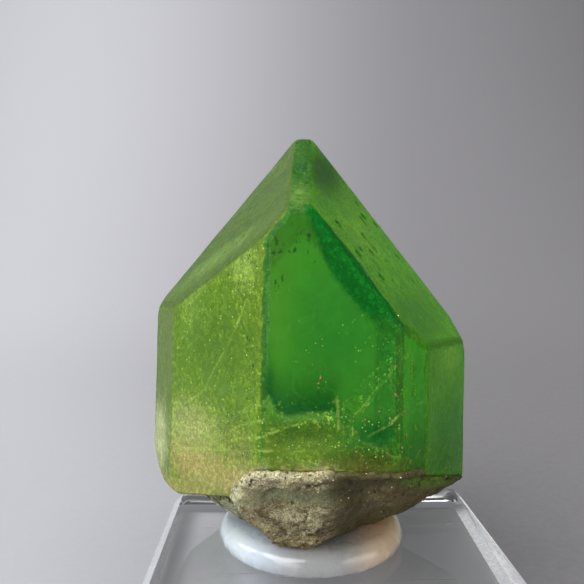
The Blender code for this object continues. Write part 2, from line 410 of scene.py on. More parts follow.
def level(points, x):
    """The height at x of a bent line through (x, height) points, flat beyond its ends."""
    for (x0, z0), (x1, z1) in zip(points, points[1:]):
        if x <= x1:
            return z0 + (z1 - z0) * max(0.0, x - x0) / (x1 - x0)
    return points[-1][1]


half_way = blot(Vector((0.5, 0.0, 0.0)), (0.0, 0.0), (1.0, 1.0), 0.0)
print("an oval's strength half way out:", round(half_way, 2))

# %% [markdown]
# The emerald band slants across the front between two borders. It is painted light: the deep
# green of light that runs round inside the stone. Below, the milky stone starts at a healed
# fracture with a ragged upper edge, and a pool of darker green lies just above that edge.
# Lowest of all, rock crust lies on the crystal: tan with cream and brown marks, olive to the right.

# %% The band, the milky stone's edge and the crust
# the band's two borders, as (height, x)
BAND_LEFT = [(-1.6, 5.2), (0.7, 4.2), (2.2, 2.8), (3.8, 1.5), (5.0, 0.9), (7.1, 0.0), (8.8, -0.6)]
BAND_RIGHT = [(-1.6, 7.3), (0.3, 6.9), (2.2, 5.5), (5.2, 3.3), (6.4, 2.3), (8.8, 0.1)]
# the band's colours are painted light, for light that runs round inside the stone
BAND_GEM, BAND_FROST = (0, 190, 60), (0, 104, 24)
# the healed fracture's upper edge, as (x, height)
FRACTURE_CREST = [
    (-11.0, -7.0), (-7.5, -6.5), (-5.8, -6.9), (-4.0, -6.3), (-3.5, -5.2), (-2.7, -5.1),
    (-2.3, -6.1), (-1.5, -6.5), (0.4, -6.2), (1.9, -6.1), (2.6, -7.3), (3.4, -7.3),
    (4.4, -8.4), (7.0, -9.2), (9.0, -9.4),
]
POOL_GEM, POOL_FROST, POOL_COVER, POOL_HEIGHT = (0, 150, 50), (6, 82, 18), 0.5, 2.5
# the line below which rock crust lies on the crystal, as (x, height)
CRUST_LINE = [
    (-14.0, -13.6), (-10.0, -13.2), (-7.0, -12.4), (-5.1, -11.2), (-3.6, -10.0), (-1.0, -9.8),
    (1.5, -9.8), (3.4, -9.2), (5.0, -9.6), (7.5, -10.0), (8.6, -10.8), (14.0, -14.0),
]
CRUST_TAN, CRUST_CREAM, CRUST_BROWN = (150, 144, 92), (204, 194, 152), (98, 86, 48)
CRUST_OLIVE = (84, 80, 36)


def emerald_light_band(p):
    """The deep green band of painted light that slants across the front, fading out at both ends.
    """
    x = p.x + 0.12 * cloud(p, 0.7, 4.0)
    inner = ease(x - level(BAND_LEFT, p.z), -0.15, 0.3)
    inner *= ease(level(BAND_RIGHT, p.z) - x, -0.15, 0.1)
    return inner * ease(p.z, -1.6, 1.6) * ease(9.2 - p.z, 0.0, 0.6) * ease(-p.y, 10.5, 12.0)


def below_crest(p):
    """How far a point of the front lies below the healed fracture's upper edge."""
    if p.y > -5.0:
        return -5.0
    return level(FRACTURE_CREST, p.x) - p.z


def crust_share(p):
    """How thickly rock crust covers the crystal's lower edge."""
    line = level(CRUST_LINE, p.x) + 0.6 * cloud(p, 1.1, 6.0)
    return ease(line - p.z, -0.7, 0.9) if p.y < 0.0 else 0.0


def crust_tone(p):
    """The crust's colour on the crystal: tan, with cream and brown marks, olive to the right."""
    broken = ease(p.x, -6.4, -4.6)
    cream = broken * ease(cloud(p, 0.5, 2.0), 0.0, 0.35)
    tone = mixed(paint(*CRUST_TAN), paint(*CRUST_CREAM), cream)
    tone = mixed(tone, paint(*CRUST_BROWN), broken * ease(cloud(p, 0.6, 9.0), 0.1, 0.4))
    return mixed(tone, paint(*CRUST_OLIVE), ease(p.x, 0.0, 3.0))


print("the milky stone's edge under the middle, mm:", level(FRACTURE_CREST, 0.0))

# %% [markdown]
# Pale veins run through the milky stone. They are finer than the net, so each vertex stores how
# far away the nearest one is, and the material draws a vein where that distance is small.

# %% Veins
# veins as bent lines of (x, z) points
VEINS = [
    [(-4.9, -5.9), (-3.8, -5.8), (-2.5, -5.8), (-1.9, -5.5)],
    [(-1.9, -6.1), (-1.2, -6.5), (-0.3, -6.6), (1.0, -6.6)],
    [(-5.6, -8.0), (-4.9, -7.5), (-4.0, -7.1), (-3.1, -6.8)],
    [(-6.7, -9.5), (-5.2, -8.6), (-3.4, -8.1), (-2.5, -7.7), (-1.2, -7.2), (0.0, -6.9)],
    [(-11.7, -8.9), (-9.3, -8.6), (-8.0, -9.0), (-7.1, -9.4), (-5.8, -9.7)],
    [(-11.3, -10.9), (-8.2, -10.1), (-5.2, -9.6), (-3.7, -9.1), (-1.8, -8.9), (-0.2, -9.0)],
    [(-4.8, 1.5), (-5.6, -0.4), (-6.3, -1.8), (-7.5, -3.8), (-8.3, -5.5), (-10.3, -6.9)],
    [(3.5, -6.2), (4.0, -5.7), (4.9, -4.4), (5.7, -3.6), (6.3, -2.7)],
    [(3.0, -8.3), (3.2, -8.0), (3.4, -7.5), (3.1, -6.6)],
    [(4.4, -7.8), (5.8, -7.0), (6.5, -6.3), (7.1, -5.9), (9.0, -5.4)],
    [(6.0, -1.9), (6.05, -4.6)],
    [(7.6, -1.7), (7.6, -3.8)],
    [(2.2, -4.9), (2.3, -7.4)],
    [(2.6, -5.2), (2.6, -7.2)],
    [(1.9, -5.1), (1.9, -6.3)],
]
VEIN_REACH = 1.0
boxed_veins = []
for points in VEINS:
    xs, zs = zip(*points)
    low, high = min(zs) - VEIN_REACH, max(zs) + VEIN_REACH
    boxed_veins.append((min(xs) - VEIN_REACH, max(xs) + VEIN_REACH, low, high, points))


def vein_gap(p):
    """How far a point lies from the nearest vein, in millimetres, up to VEIN_REACH."""
    nearest = VEIN_REACH
    if p.y > -4.0:
        return nearest
    for left, right, low, high, points in boxed_veins:
        if not (left < p.x < right and low < p.z < high):
            continue
        for (x0, z0), (x1, z1) in zip(points, points[1:]):
            along, up = x1 - x0, z1 - z0
            t = ((p.x - x0) * along + (p.z - z0) * up) / (along * along + up * up)
            t = min(1.0, max(0.0, t))
            nearest = min(nearest, math.hypot(p.x - x0 - t * along, p.z - z0 - t * up))
    return nearest


print("veins:", len(VEINS))

# %% [markdown]
# Single large pits lie near the top of the front face, and each vertex stores how far it is inside
# one. Small pits gather in patches on several faces, and their density is one more attribute.

# %% Dark pits
# single large pits, as (x, z, half width, half height)
PIT_MARKS = [
    (-2.42, 6.1, 0.14, 0.24), (-2.1, 5.4, 0.12, 0.26), (-2.6, 5.3, 0.10, 0.18),
    (-0.1, 6.6, 0.20, 0.26), (-0.15, 6.1, 0.08, 0.16), (-1.1, 5.55, 0.15, 0.22),
    (-1.4, 7.35, 0.12, 0.13), (0.3, 4.8, 0.18, 0.11), (-2.9, 3.3, 0.10, 0.13),
    (-3.0, 0.2, 0.08, 0.16),
]
# face, middle (x, z), half size (x, z) of the patches of small pits
PITTED = [
    ("front", (-2.4, 5.0), (0.9, 2.4)), ("front", (-0.6, 6.0), (1.0, 1.0)),
    ("front_left", (-5.0, 4.6), (1.6, 2.6)), ("front_left", (-4.2, -2.0), (0.5, 6.0)),
    ("right_slope", (6.0, 5.0), (2.6, 4.0)), ("left_slope", (-5.0, 10.5), (6.0, 5.0)),
    ("brow", (-0.8, 12.6), (0.9, 2.4)),
]


def pit_share(p):
    """1 inside a large pit of the front face and 0 outside it."""
    if p.y > -14.0:
        return 0.0
    gap = min(math.hypot((p.x - x) / wide, (p.z - z) / high) for x, z, wide, high in PIT_MARKS)
    return ease(1.5 - gap, 0.0, 1.2)


def pitting(face, p):
    """How densely small pits cover a face at a point."""
    return sum(blot(p, middle, half, 0.0) for name, middle, half in PITTED if name == face)


print("large pits:", len(PIT_MARKS), "patches of small ones:", len(PITTED))

# %% [markdown]
# A point on a rounded edge belongs to two faces, so the finishes of its faces are mixed by their
# shares. On the front face the dark pool and the glints depend on the place as well.

# %% The finish of a point
def face_paint(face, p):
    """Gem colour, roughness, frost colour, cover, glints and lines of one face at a point."""
    gem, polish, frost, cover = FACE_FINISH.get(face, REAR_FINISH)
    gem, frost = paint(*gem), paint(*frost)
    for middle, half, turn, wash_gem, wash_frost, wash_cover in washes_of.get(face, ()):
        share = blot(p, middle, half, turn)
        if share < 0.01:
            continue
        if wash_gem:
            gem = mixed(gem, wash_gem, share)
        if wash_frost:
            frost = mixed(frost, wash_frost, share)
            cover += (wash_cover - cover) * share
    glint = GLINTS.get(face, 0.15)
    if face == "front":
        above = -below_crest(p)
        pool = ease(above, -0.2, 0.2) * math.exp(-((above / POOL_HEIGHT) ** 2))
        pool *= ease(4.5 - p.x, 0.0, 3.0)
        gem = mixed(gem, paint(*POOL_GEM), pool)
        frost = mixed(frost, paint(*POOL_FROST), pool)
        cover += (POOL_COVER - cover) * pool
        glint *= max(ease(-p.z, 4.0, 7.0), 0.9 * blot(p, (2.4, -1.0), (5.0, 6.4), 0.0))
    return gem, polish, frost, cover, glint, LINED.get(face, 1.0)


def blended_paint(p, shares):
    """The finishes of a point's faces, and how pitted they are, mixed by their shares."""
    total = [0.0] * 11
    for face, share in shares.items():
        gem, polish, frost, *amounts = face_paint(face, p)
        for i, value in enumerate((*gem, polish, *frost, *amounts, pitting(face, p))):
            total[i] += share * value
    return total[0:3], total[3], total[4:7], *total[7:11]


print("cover at the front's middle:", round(face_paint("front", Vector((0, -15, 0)))[3], 2))

# %% [markdown]
# Some marks don't stop at the border of a face: the emerald band, and the crust of rock along the
# lower edge. They are laid over the paint of the faces. Where the surface turns away from its
# face's direction it is a worn edge, which is duller. Painted shade darkens the frost there by up
# to a quarter, and on the front and right of the middle the edge frost takes a shadow green,
# lighter at the far right. Thick frost in the green of its neighbours keeps a lamp from drawing a
# hard white line there.

# %% Lay the paint on the mesh
# EDGE_SHADE and the dark edge green are painted shade along the crystal's edges
EDGE_COVER, EDGE_POLISH, EDGE_SHADE = 1.3, 0.5, 0.25
EDGE_SHADOW_GREEN, EDGE_RIGHT = (50, 118, 34), (84, 164, 42)
FULL_COVER = 0.98


def point_paint(vert):
    """The value of each painted attribute at one vertex."""
    p = room_to_crystal @ vert.co
    shares = face_shares(vert.normal)
    gem, polish, frost, cover, glint, lined, pitted = blended_paint(p, shares)
    nearest = (room_to_crystal_turn @ vert.normal).dot(face_direction[main_face(vert.normal)])
    worn_and_shaded = ease(1.0 - nearest, 0.0005, 0.007)
    cover *= 1.0 + 0.35 * cloud(p, 1.1, 3.0)
    cover += (EDGE_COVER - cover) * worn_and_shaded
    in_front = 0.8 * ease(shares.get("front", 0.0), 0.02, 0.3)
    # painted shade: the edge frost takes a shadow green, then is darkened by EDGE_SHADE
    edge = mixed(paint(*EDGE_SHADOW_GREEN), paint(*EDGE_RIGHT), ease(p.x, 5.6, 9.0))
    frost = mixed(frost, edge, worn_and_shaded * max(ease(p.x, -0.3, 0.8), in_front))
    frost = mixed(frost, (0.0, 0.0, 0.0), EDGE_SHADE * worn_and_shaded)
    band, crust = emerald_light_band(p), crust_share(p)
    gem, frost = mixed(gem, paint(*BAND_GEM), band), mixed(frost, paint(*BAND_FROST), band)
    cover += (0.7 + 0.35 * worn_and_shaded - cover) * band
    bare = 1.0 - crust
    return {
        "gem": gem,
        "polish": min(0.9, polish + EDGE_POLISH * worn_and_shaded),
        "frost": mixed(frost, crust_tone(p), crust),
        "cover": min(FULL_COVER, cover + (1.0 - cover) * crust),
        "glint": glint * bare * (1.0 - band),
        "lined": lined * bare,
        "pitted": pitted * bare,
        "below_crest": below_crest(p),
        "vein_gap": vein_gap(p),
        "pit_share": pit_share(p),
    }


def add_paint(mesh, name, values):
    """Stores a colour or a number for each vertex as a point attribute of a mesh."""
    if isinstance(values[0], tuple):
        layer = mesh.attributes.new(name, "FLOAT_COLOR", "POINT")
        layer.data.foreach_set("color", [v for colour in values for v in (*colour, 1.0)])
    else:
        layer = mesh.attributes.new(name, "FLOAT", "POINT")
        layer.data.foreach_set("value", values)


painted = {}
for vert in crystal_bm.verts:
    for name, value in point_paint(vert).items():
        painted.setdefault(name, []).append(value)
print("mean cover of the frost:", round(sum(painted["cover"]) / len(crystal_bm.verts), 3))

# %% [markdown]
# The finest marks follow each face's own growth direction: up the crystal on its sides, along
# the slopes on its top, and level on the brow. A UV map holds that direction, in millimetres, so
# that a pattern stretched along U turns into growth lines on every face.

# %% UV map along the growth lines
def growth_direction(face):
    """The way that the marks of a face run, in the crystal's axes."""
    if face in ("brow", "rear_brow", "underside"):
        return Vector((1.0, 0.0, 0.0))
    if "slope" in face:
        partner = face[5:] if face.startswith("rear_") else "rear_" + face
        return face_direction[face].cross(face_direction[partner]).normalized()
    return Vector((0.0, 0.0, 1.0))


growth_axes = {}
for face, way in face_direction.items():
    along = growth_direction(face)
    growth_axes[face] = (along, way.cross(along).normalized())


def map_growth_lines(bm):
    layer = bm.loops.layers.uv.new("growth_lines")
    for face in bm.faces:
        along, across = growth_axes[main_face(face.normal)]
        for loop in face.loops:
            p = room_to_crystal @ loop.vert.co
            loop[layer].uv = (p.dot(along), p.dot(across))


map_growth_lines(crystal_bm)
print("growth lines mapped on", len(crystal_bm.faces), "faces")

# %% [markdown]
# ## Node helpers
# `add` makes a node, sets its options and joins or sets its inputs in one call, so each material
# below reads as a short list. Patterns are easier to size in millimetres than in metres, so
# `object_mm` gives Object coordinates times 1000.


# %% Nodes, places and painted values
def join(tree, value, socket):
    """Links a socket to another, or sets a plain value on it."""
    if isinstance(value, bpy.types.NodeSocket):
        tree.links.new(value, socket)
    else:
        socket.default_value = value


def add(tree, kind, inputs=None, **options):
    item = tree.nodes.new(kind)
    for name, value in options.items():
        setattr(item, name, value)
    for name, value in (inputs or {}).items():
        join(tree, value, item.inputs[name])
    return item


def object_mm(tree):
    place = add(tree, "ShaderNodeTexCoord").outputs["Object"]
    scaled = add(tree, "ShaderNodeVectorMath", {0: place}, operation="SCALE")
    scaled.inputs["Scale"].default_value = 1.0 / MM
    return scaled.outputs["Vector"]


def painted_colour(tree, name):
    return add(tree, "ShaderNodeAttribute", attribute_name=name).outputs["Color"]


def painted_value(tree, name):
    return add(tree, "ShaderNodeAttribute", attribute_name=name).outputs["Fac"]


print("material coordinates per metre:", 1.0 / MM)

# %% [markdown]
# The rest turn one value into another: a range into a range, two colours into one, two numbers
# into their sum or product, and a height into a bump.

# %% Ramps, mixes and sums
def ramp(tree, value, low, high, start=0.0, end=1.0):
    """Turns the range low to high of a value into start to end, smoothly."""
    spread = add(tree, "ShaderNodeMapRange", {"Value": value}, interpolation_type="SMOOTHSTEP")
    limits = {"From Min": low, "From Max": high, "To Min": start, "To Max": end}
    for name, number in limits.items():
        spread.inputs[name].default_value = number
    return spread.outputs["Result"]


def mix_colour(tree, share, first, second, how="MIX"):
    """Mixes two colours by a share, or multiplies or lights one by the other."""
    mix = add(tree, "ShaderNodeMix", data_type="RGBA", blend_type=how)
    for value, place in ((share, 0), (first, 6), (second, 7)):
        join(tree, value, mix.inputs[place])
    return mix.outputs[2]


def calculate(tree, operation, first, second=0.0, clamp=False):
    item = add(tree, "ShaderNodeMath", operation=operation, use_clamp=clamp)
    join(tree, first, item.inputs[0])
    join(tree, second, item.inputs[1])
    return item.outputs["Value"]


def times(tree, first, second):
    return calculate(tree, "MULTIPLY", first, second)


def vector_maths(tree, operation, first, second):
    item = add(tree, "ShaderNodeVectorMath", {0: first, 1: second}, operation=operation)
    return item.outputs["Vector"]


def bump(tree, height, strength, depth_mm):
    item = add(tree, "ShaderNodeBump", {"Height": height})
    item.inputs["Strength"].default_value = strength
    item.inputs["Distance"].default_value = depth_mm * MM
    return item.outputs["Normal"]


def new_material(name):
    mat = bpy.data.materials.new(name)
    mat.use_nodes = True
    return mat, mat.node_tree, mat.node_tree.nodes["Principled BSDF"]


def opaque(red, green, blue):
    """A colour from screen values, with the fourth number that a colour socket takes."""
    return (*paint(red, green, blue), 1.0)


def swing(tree, noise_value, strength):
    """A noise's swing to both sides of its middle, times a strength."""
    return times(tree, calculate(tree, "SUBTRACT", noise_value, 0.5), strength)


print("mid grey as a material's colour:", [round(v, 3) for v in opaque(128, 128, 128)])

# %% [markdown]
# ## Effects that several materials share
# Grain, soft patches, scattered specks and growth lines turn up on the gem, its frosted skin, the
# rock and the putty at different sizes. Each is a shader node group, built once. A group has
# named inputs, so each material sets its own size, and it puts out only values.


# %% Grain and patches
def new_group(name, inputs, outputs):
    group = bpy.data.node_groups.new(name, "ShaderNodeTree")
    for socket, start in inputs.items():
        kind = "NodeSocketVector" if start is None else "NodeSocketFloat"
        made = group.interface.new_socket(name=socket, in_out="INPUT", socket_type=kind)
        if start is not None:
            made.default_value = start
    for socket in outputs:
        group.interface.new_socket(name=socket, in_out="OUTPUT", socket_type="NodeSocketFloat")
    begin = group.nodes.new("NodeGroupInput").outputs
    end = group.nodes.new("NodeGroupOutput").inputs
    return group, begin, end


def make_grain_group():
    """Fine even grain, and a random level for each tiny cell, as in sanded glass."""
    group, begin, end = new_group("fine_grain", {"Vector": None, "Size": 0.2}, ["Grain", "Cells"])
    scale = calculate(group, "DIVIDE", 1.0, begin["Size"])
    fine = add(group, "ShaderNodeTexNoise", {"Vector": begin["Vector"], "Scale": scale})
    fine.inputs["Detail"].default_value = 3.0
    cells = add(group, "ShaderNodeTexVoronoi", {"Vector": begin["Vector"], "Scale": scale})
    level = add(group, "ShaderNodeSeparateColor", {"Color": cells.outputs["Color"]})
    join(group, fine.outputs["Fac"], end["Grain"])
    join(group, level.outputs["Red"], end["Cells"])
    return group


def make_patches_group():
    """Large soft clouds, from 0 to 1."""
    group, begin, end = new_group("soft_patches", {"Vector": None, "Size": 3.0}, ["Patches"])
    scale = calculate(group, "DIVIDE", 1.0, begin["Size"])
    clouds = add(group, "ShaderNodeTexNoise", {"Vector": begin["Vector"], "Scale": scale})
    clouds.inputs["Detail"].default_value = 4.0
    join(group, ramp(group, clouds.outputs["Fac"], 0.3, 0.7), end["Patches"])
    return group


effects = [make_grain_group(), make_patches_group()]
print("effects so far:", [group.name for group in effects])

# %% [markdown]
# Specks are the cells of a Voronoi pattern whose random level is low enough, each with a width of
# its own. Growth lines are noise squeezed along U, which draws it out into streaks.

# %% Specks and growth lines
def make_specks_group():
    """Small separate spots: only some cells of a Voronoi pattern hold one."""
    inputs = {"Vector": None, "Spacing": 1.0, "Width": 0.2, "Share": 0.3}
    group, begin, end = new_group("scattered_specks", inputs, ["Specks"])
    scale = calculate(group, "DIVIDE", 1.0, begin["Spacing"])
    cells = add(group, "ShaderNodeTexVoronoi", {"Vector": begin["Vector"], "Scale": scale})
    level = add(group, "ShaderNodeSeparateColor", {"Color": cells.outputs["Color"]})
    chosen = calculate(group, "LESS_THAN", level.outputs["Red"], begin["Share"])
    width = times(group, begin["Width"], level.outputs["Green"])
    gap = calculate(group, "SUBTRACT", width, cells.outputs["Distance"])
    spot = ramp(group, gap, 0.0, 0.06)
    join(group, times(group, spot, chosen), end["Specks"])
    return group


def make_lines_group():
    """Fine lines along U of a UV map in millimetres."""
    inputs = {"Vector": None, "Spacing": 0.3, "Stretch": 20.0}
    group, begin, end = new_group("growth_lines", inputs, ["Lines"])
    parts = add(group, "ShaderNodeSeparateXYZ", {"Vector": begin["Vector"]})
    along = calculate(group, "DIVIDE", parts.outputs["X"], begin["Stretch"])
    across = {"X": along, "Y": parts.outputs["Y"], "Z": parts.outputs["Z"]}
    place = add(group, "ShaderNodeCombineXYZ", across)
    scale = calculate(group, "DIVIDE", 1.0, begin["Spacing"])
    lines = add(group, "ShaderNodeTexNoise", {"Vector": place.outputs["Vector"], "Scale": scale})
    lines.inputs["Detail"].default_value = 2.0
    join(group, lines.outputs["Fac"], end["Lines"])
    return group


effects += [make_specks_group(), make_lines_group()]
effect_named = {group.name: group for group in effects}


def effect(tree, name, vector, **sizes):
    """Places a shared effect in a material; its outputs are read by name."""
    item = add(tree, "ShaderNodeGroup", node_tree=effect_named[name])
    join(tree, vector, item.inputs["Vector"])
    for size, value in sizes.items():
        item.inputs[size].default_value = value
    return item.outputs


print("shared effects:", sorted(effect_named))

# %% [markdown]
# ## The gem material
# Peridot bends light by 1.67, and it is green because its inside takes out red and blue. Volume
# Absorption does that by the length of the way inside, so thick parts are deeper green. Its
# colour and density are plain values, which the glTF export needs. What is painted on the mesh
# tints the light once more where it passes the surface. A fifth of the light is scattered
# rather than passed, which gives the slightly milky body that natural crystals have.

# %% The gem material
GEM_IOR = 1.67
GEM_CLEAR_SHARE = 0.80
GEM_GLOSS = 0.3
GEM_INSIDE_COLOUR = (0.2, 0.767, 0.025)
GEM_INSIDE_DENSITY = 55.0


def make_gem():
    mat, tree, shader = new_material("peridot_gem")
    place = object_mm(tree)
    patches = effect(tree, "soft_patches", place, Size=2.6)["Patches"]
    shade = mix_colour(tree, patches, opaque(236, 240, 232), opaque(255, 255, 255))
    colour = mix_colour(tree, 1.0, painted_colour(tree, "gem"), shade, "MULTIPLY")
    join(tree, colour, shader.inputs["Base Color"])
    grain = effect(tree, "fine_grain", place, Size=0.16)["Grain"]
    spread = swing(tree, grain, 0.16)
    rough = calculate(tree, "ADD", painted_value(tree, "polish"), spread, clamp=True)
    join(tree, rough, shader.inputs["Roughness"])
    uv = add(tree, "ShaderNodeUVMap", uv_map="growth_lines").outputs["UV"]
    lines = effect(tree, "growth_lines", uv, Spacing=0.28, Stretch=18.0)["Lines"]
    height = calculate(tree, "ADD", lines, times(tree, grain, 0.5))
    join(tree, bump(tree, height, 0.2, 0.02), shader.inputs["Normal"])
    shader.inputs["Transmission Weight"].default_value = GEM_CLEAR_SHARE
    shader.inputs["IOR"].default_value = GEM_IOR
    shader.inputs["Specular IOR Level"].default_value = GEM_GLOSS
    inside = add(tree, "ShaderNodeVolumeAbsorption")
    inside.inputs["Color"].default_value = (*GEM_INSIDE_COLOUR, 1.0)
    inside.inputs["Density"].default_value = GEM_INSIDE_DENSITY
    tree.links.new(inside.outputs["Volume"], tree.nodes["Material Output"].inputs["Volume"])
    return mat


skin_bm = crystal_bm.copy()
crystal = finish_piece("gem_crystal", crystal_bm, make_gem())
for name in ("gem", "polish"):
    add_paint(crystal.data, name, painted[name])
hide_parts("crystal")

# %% [markdown]
# ## The etched skin
# The paler faces are frosted by a skin of tiny etch marks. A second copy of the surface, a few
# hundredths of a millimetre larger, carries it, and its Alpha thins it out to nothing where the
# stone is bare. Frost on a piece of its own keeps the glass below plain and clear.
#
# The skin also shows what lies just under the surface. Below the healed fracture the stone is
# milky: a thin mist with a flecked bright crest and fine pale veins. The painted distances give
# their places, and noise added to a distance before it is cut off makes their borders ragged.

# %% The milky stone and its veins
SKIN_GAP = 0.02
HAZE_GREEN, HAZE_PALE = (82, 122, 26), (146, 180, 76)


def fracture_haze(tree, place, grain):
    """The milky stone below the healed fracture: how thick it lies, and how bright it is."""
    below = painted_value(tree, "below_crest")
    patches = effect(tree, "soft_patches", place, Size=1.4)["Patches"]
    torn = calculate(tree, "ADD", swing(tree, patches, 0.7), swing(tree, grain, 1.1))
    edge = calculate(tree, "ADD", below, torn)
    body = times(tree, ramp(tree, edge, -0.1, 0.35), ramp(tree, below, 0.0, 3.0, 0.7, 1.0))
    crest = times(tree, body, ramp(tree, edge, 0.7, 0.1))
    flecked = times(tree, crest, ramp(tree, grain, 0.4, 0.62, 0.0, 0.6))
    veins = pale_veins(tree, place, grain, patches, body)
    bright = calculate(tree, "ADD", flecked, veins, clamp=True)
    mist = times(tree, body, ramp(tree, patches, 0.0, 1.0, 0.04, 0.30))
    return mist, bright


def pale_veins(tree, place, grain, patches, body):
    """Dotted drifts all over the milky stone, and the painted veins across the front."""
    drifts = effect(tree, "growth_lines", place, Spacing=1.9, Stretch=4.0)["Lines"]
    ridge = calculate(tree, "ABSOLUTE", calculate(tree, "SUBTRACT", drifts, 0.5))
    dotted = times(tree, ramp(tree, ridge, 0.012, 0.0), ramp(tree, grain, 0.46, 0.6))
    dotted = times(tree, dotted, times(tree, body, 0.7))
    wander = calculate(tree, "ADD", painted_value(tree, "vein_gap"), swing(tree, grain, 0.36))
    drawn = times(tree, ramp(tree, wander, 0.13, 0.02), ramp(tree, patches, 0.0, 0.8, 0.2, 0.7))
    return calculate(tree, "MAXIMUM", dotted, drawn)


print("skin's gap over the glass in mm:", SKIN_GAP)

# %% [markdown]
# The pits too small for the mesh are specks of painted shade, dark green. A noise pushes each
# place about before the specks are laid, so that they come out ragged rather than round. The large
# pits are painted with the same shade.

# %% Painted shade in the etch pits
PIT_WAVES, PIT_PUSH, PIT_HEIGHT = 5.0, (0.35, 0.35, 0.7), (1.0, 1.0, 0.55)


def etch_pits(tree, place, grain):
    """The share of painted pit shade at each place: small ragged pits, and the large ones."""
    wavy = add(tree, "ShaderNodeTexNoise", {"Vector": place, "Scale": PIT_WAVES})
    push = vector_maths(tree, "MULTIPLY", wavy.outputs["Color"], PIT_PUSH)
    ragged = vector_maths(tree, "MULTIPLY", vector_maths(tree, "ADD", place, push), PIT_HEIGHT)
    small = effect(tree, "scattered_specks", ragged, Spacing=0.26, Width=0.5, Share=0.4)["Specks"]
    small = times(tree, small, ramp(tree, painted_value(tree, "pitted"), 0.1, 0.7))
    large = calculate(tree, "SUBTRACT", grain, 0.5)
    large = calculate(tree, "ADD", painted_value(tree, "pit_share"), large)
    return calculate(tree, "MAXIMUM", small, ramp(tree, large, 0.3, 0.6))


print("faces with small dark pits:", sorted({face for face, _, _ in PITTED}))

# %% [markdown]
# The skin's colour is built up in layers: the frost with sanded cells, pits and growth lines, the
# mist, the veins, the glints and last the painted shade of the pits. Each layer also makes the
# skin thicker, so that it shows on bare stone too.

# %% The skin's material
# the pits' dark green is painted shade
GLINT_TONE, PIT_SHADE_GREEN = (164, 204, 98), (24, 78, 26)


def frosted(tree, grain, soft, streaks):
    """The frost's own colour: paler cells, darker hollows and bright growth lines."""
    frost = painted_colour(tree, "frost")
    bright = mix_colour(tree, 1.0, frost, opaque(255, 255, 205), "SOFT_LIGHT")
    dark = mix_colour(tree, 1.0, frost, opaque(196, 204, 176), "MULTIPLY")
    sanded = mix_colour(tree, ramp(tree, grain["Cells"], 0.45, 1.0), frost, bright)
    pitted = mix_colour(tree, ramp(tree, soft, 0.64, 0.38, 0.0, 0.65), sanded, dark)
    return mix_colour(tree, streaks, pitted, bright)


def make_skin():
    mat, tree, shader = new_material("etched_skin")
    place = object_mm(tree)
    uv = add(tree, "ShaderNodeUVMap", uv_map="growth_lines").outputs["UV"]
    grain = effect(tree, "fine_grain", place, Size=0.11)
    soft = effect(tree, "fine_grain", place, Size=0.34)["Grain"]
    lines = effect(tree, "growth_lines", uv, Spacing=0.22, Stretch=16.0)["Lines"]
    streaks = ramp(tree, lines, 0.52, 0.66, 0.0, 0.6)
    streaks = times(tree, streaks, painted_value(tree, "lined"))
    mist, veins = fracture_haze(tree, place, soft)
    glints = effect(tree, "scattered_specks", place, Spacing=0.24, Width=0.32, Share=0.26)["Specks"]
    glints = times(tree, glints, painted_value(tree, "glint"))
    pits = etch_pits(tree, place, soft)
    colour = frosted(tree, grain, soft, streaks)
    thick = ramp(tree, grain["Grain"], 0.3, 0.7, 0.75, 1.2)
    thick = times(tree, painted_value(tree, "cover"), thick)
    for layer, tone, share in (
        (mist, HAZE_GREEN, 1.0),
        (veins, HAZE_PALE, 0.28),
        (glints, GLINT_TONE, 0.55),
        (pits, PIT_SHADE_GREEN, 0.6),
    ):
        colour = mix_colour(tree, layer, colour, opaque(*tone))
        thick = calculate(tree, "ADD", thick, times(tree, layer, share), clamp=True)
    join(tree, colour, shader.inputs["Base Color"])
    join(tree, thick, shader.inputs["Alpha"])
    height = calculate(tree, "ADD", grain["Cells"], times(tree, streaks, 1.5))
    join(tree, bump(tree, height, 0.4, 0.02), shader.inputs["Normal"])
    shader.inputs["Roughness"].default_value = 0.5
    shader.inputs["Specular IOR Level"].default_value = 0.15
    return mat


move_along_normals(skin_bm, lambda vert: SKIN_GAP)
skin = finish_piece("etched_skin", skin_bm, make_skin())
for name in ("frost", "cover", "glint", "lined", "pitted", "below_crest", "vein_gap", "pit_share"):
    add_paint(skin.data, name, painted[name])

# %% [markdown]
# ## Inside the stone
# Peridot is seldom empty. This one has a healed fracture low down, a jagged wall where the clear
# green above meets milky stone below, with wisps and tiny flashing flakes along it, and a few
# brown needles at the lower right. The wall is a grid bent to shape and given a little
# thickness, because a sheet seen from both sides has to be a closed body. Shadow rays don't pass
# through glass, so little light from the lamps reaches these pieces, and they glow a little.

# %% The healed fracture and the wisp
FRACTURE_FRONT, FRACTURE_BACK, FRACTURE_DROP = -13.9, -3.0, 4.6
SHEET_THICKNESS, SHEET_DEPTH = 0.03, 0.7
INNER_GLOW = 0.35
# how far each upright face lies from the crystal's middle, in millimetres
FACE_REACH = {"front": 15.0, "front_left": 12.7, "front_right": 15.1, "left": 13.2, "right": 13.5}


def inside_stone(p, margin):
    """True where a point in the crystal's axes is at least a margin below every face."""
    return all(p.dot(face_direction[face]) < far - margin for face, far in FACE_REACH.items())


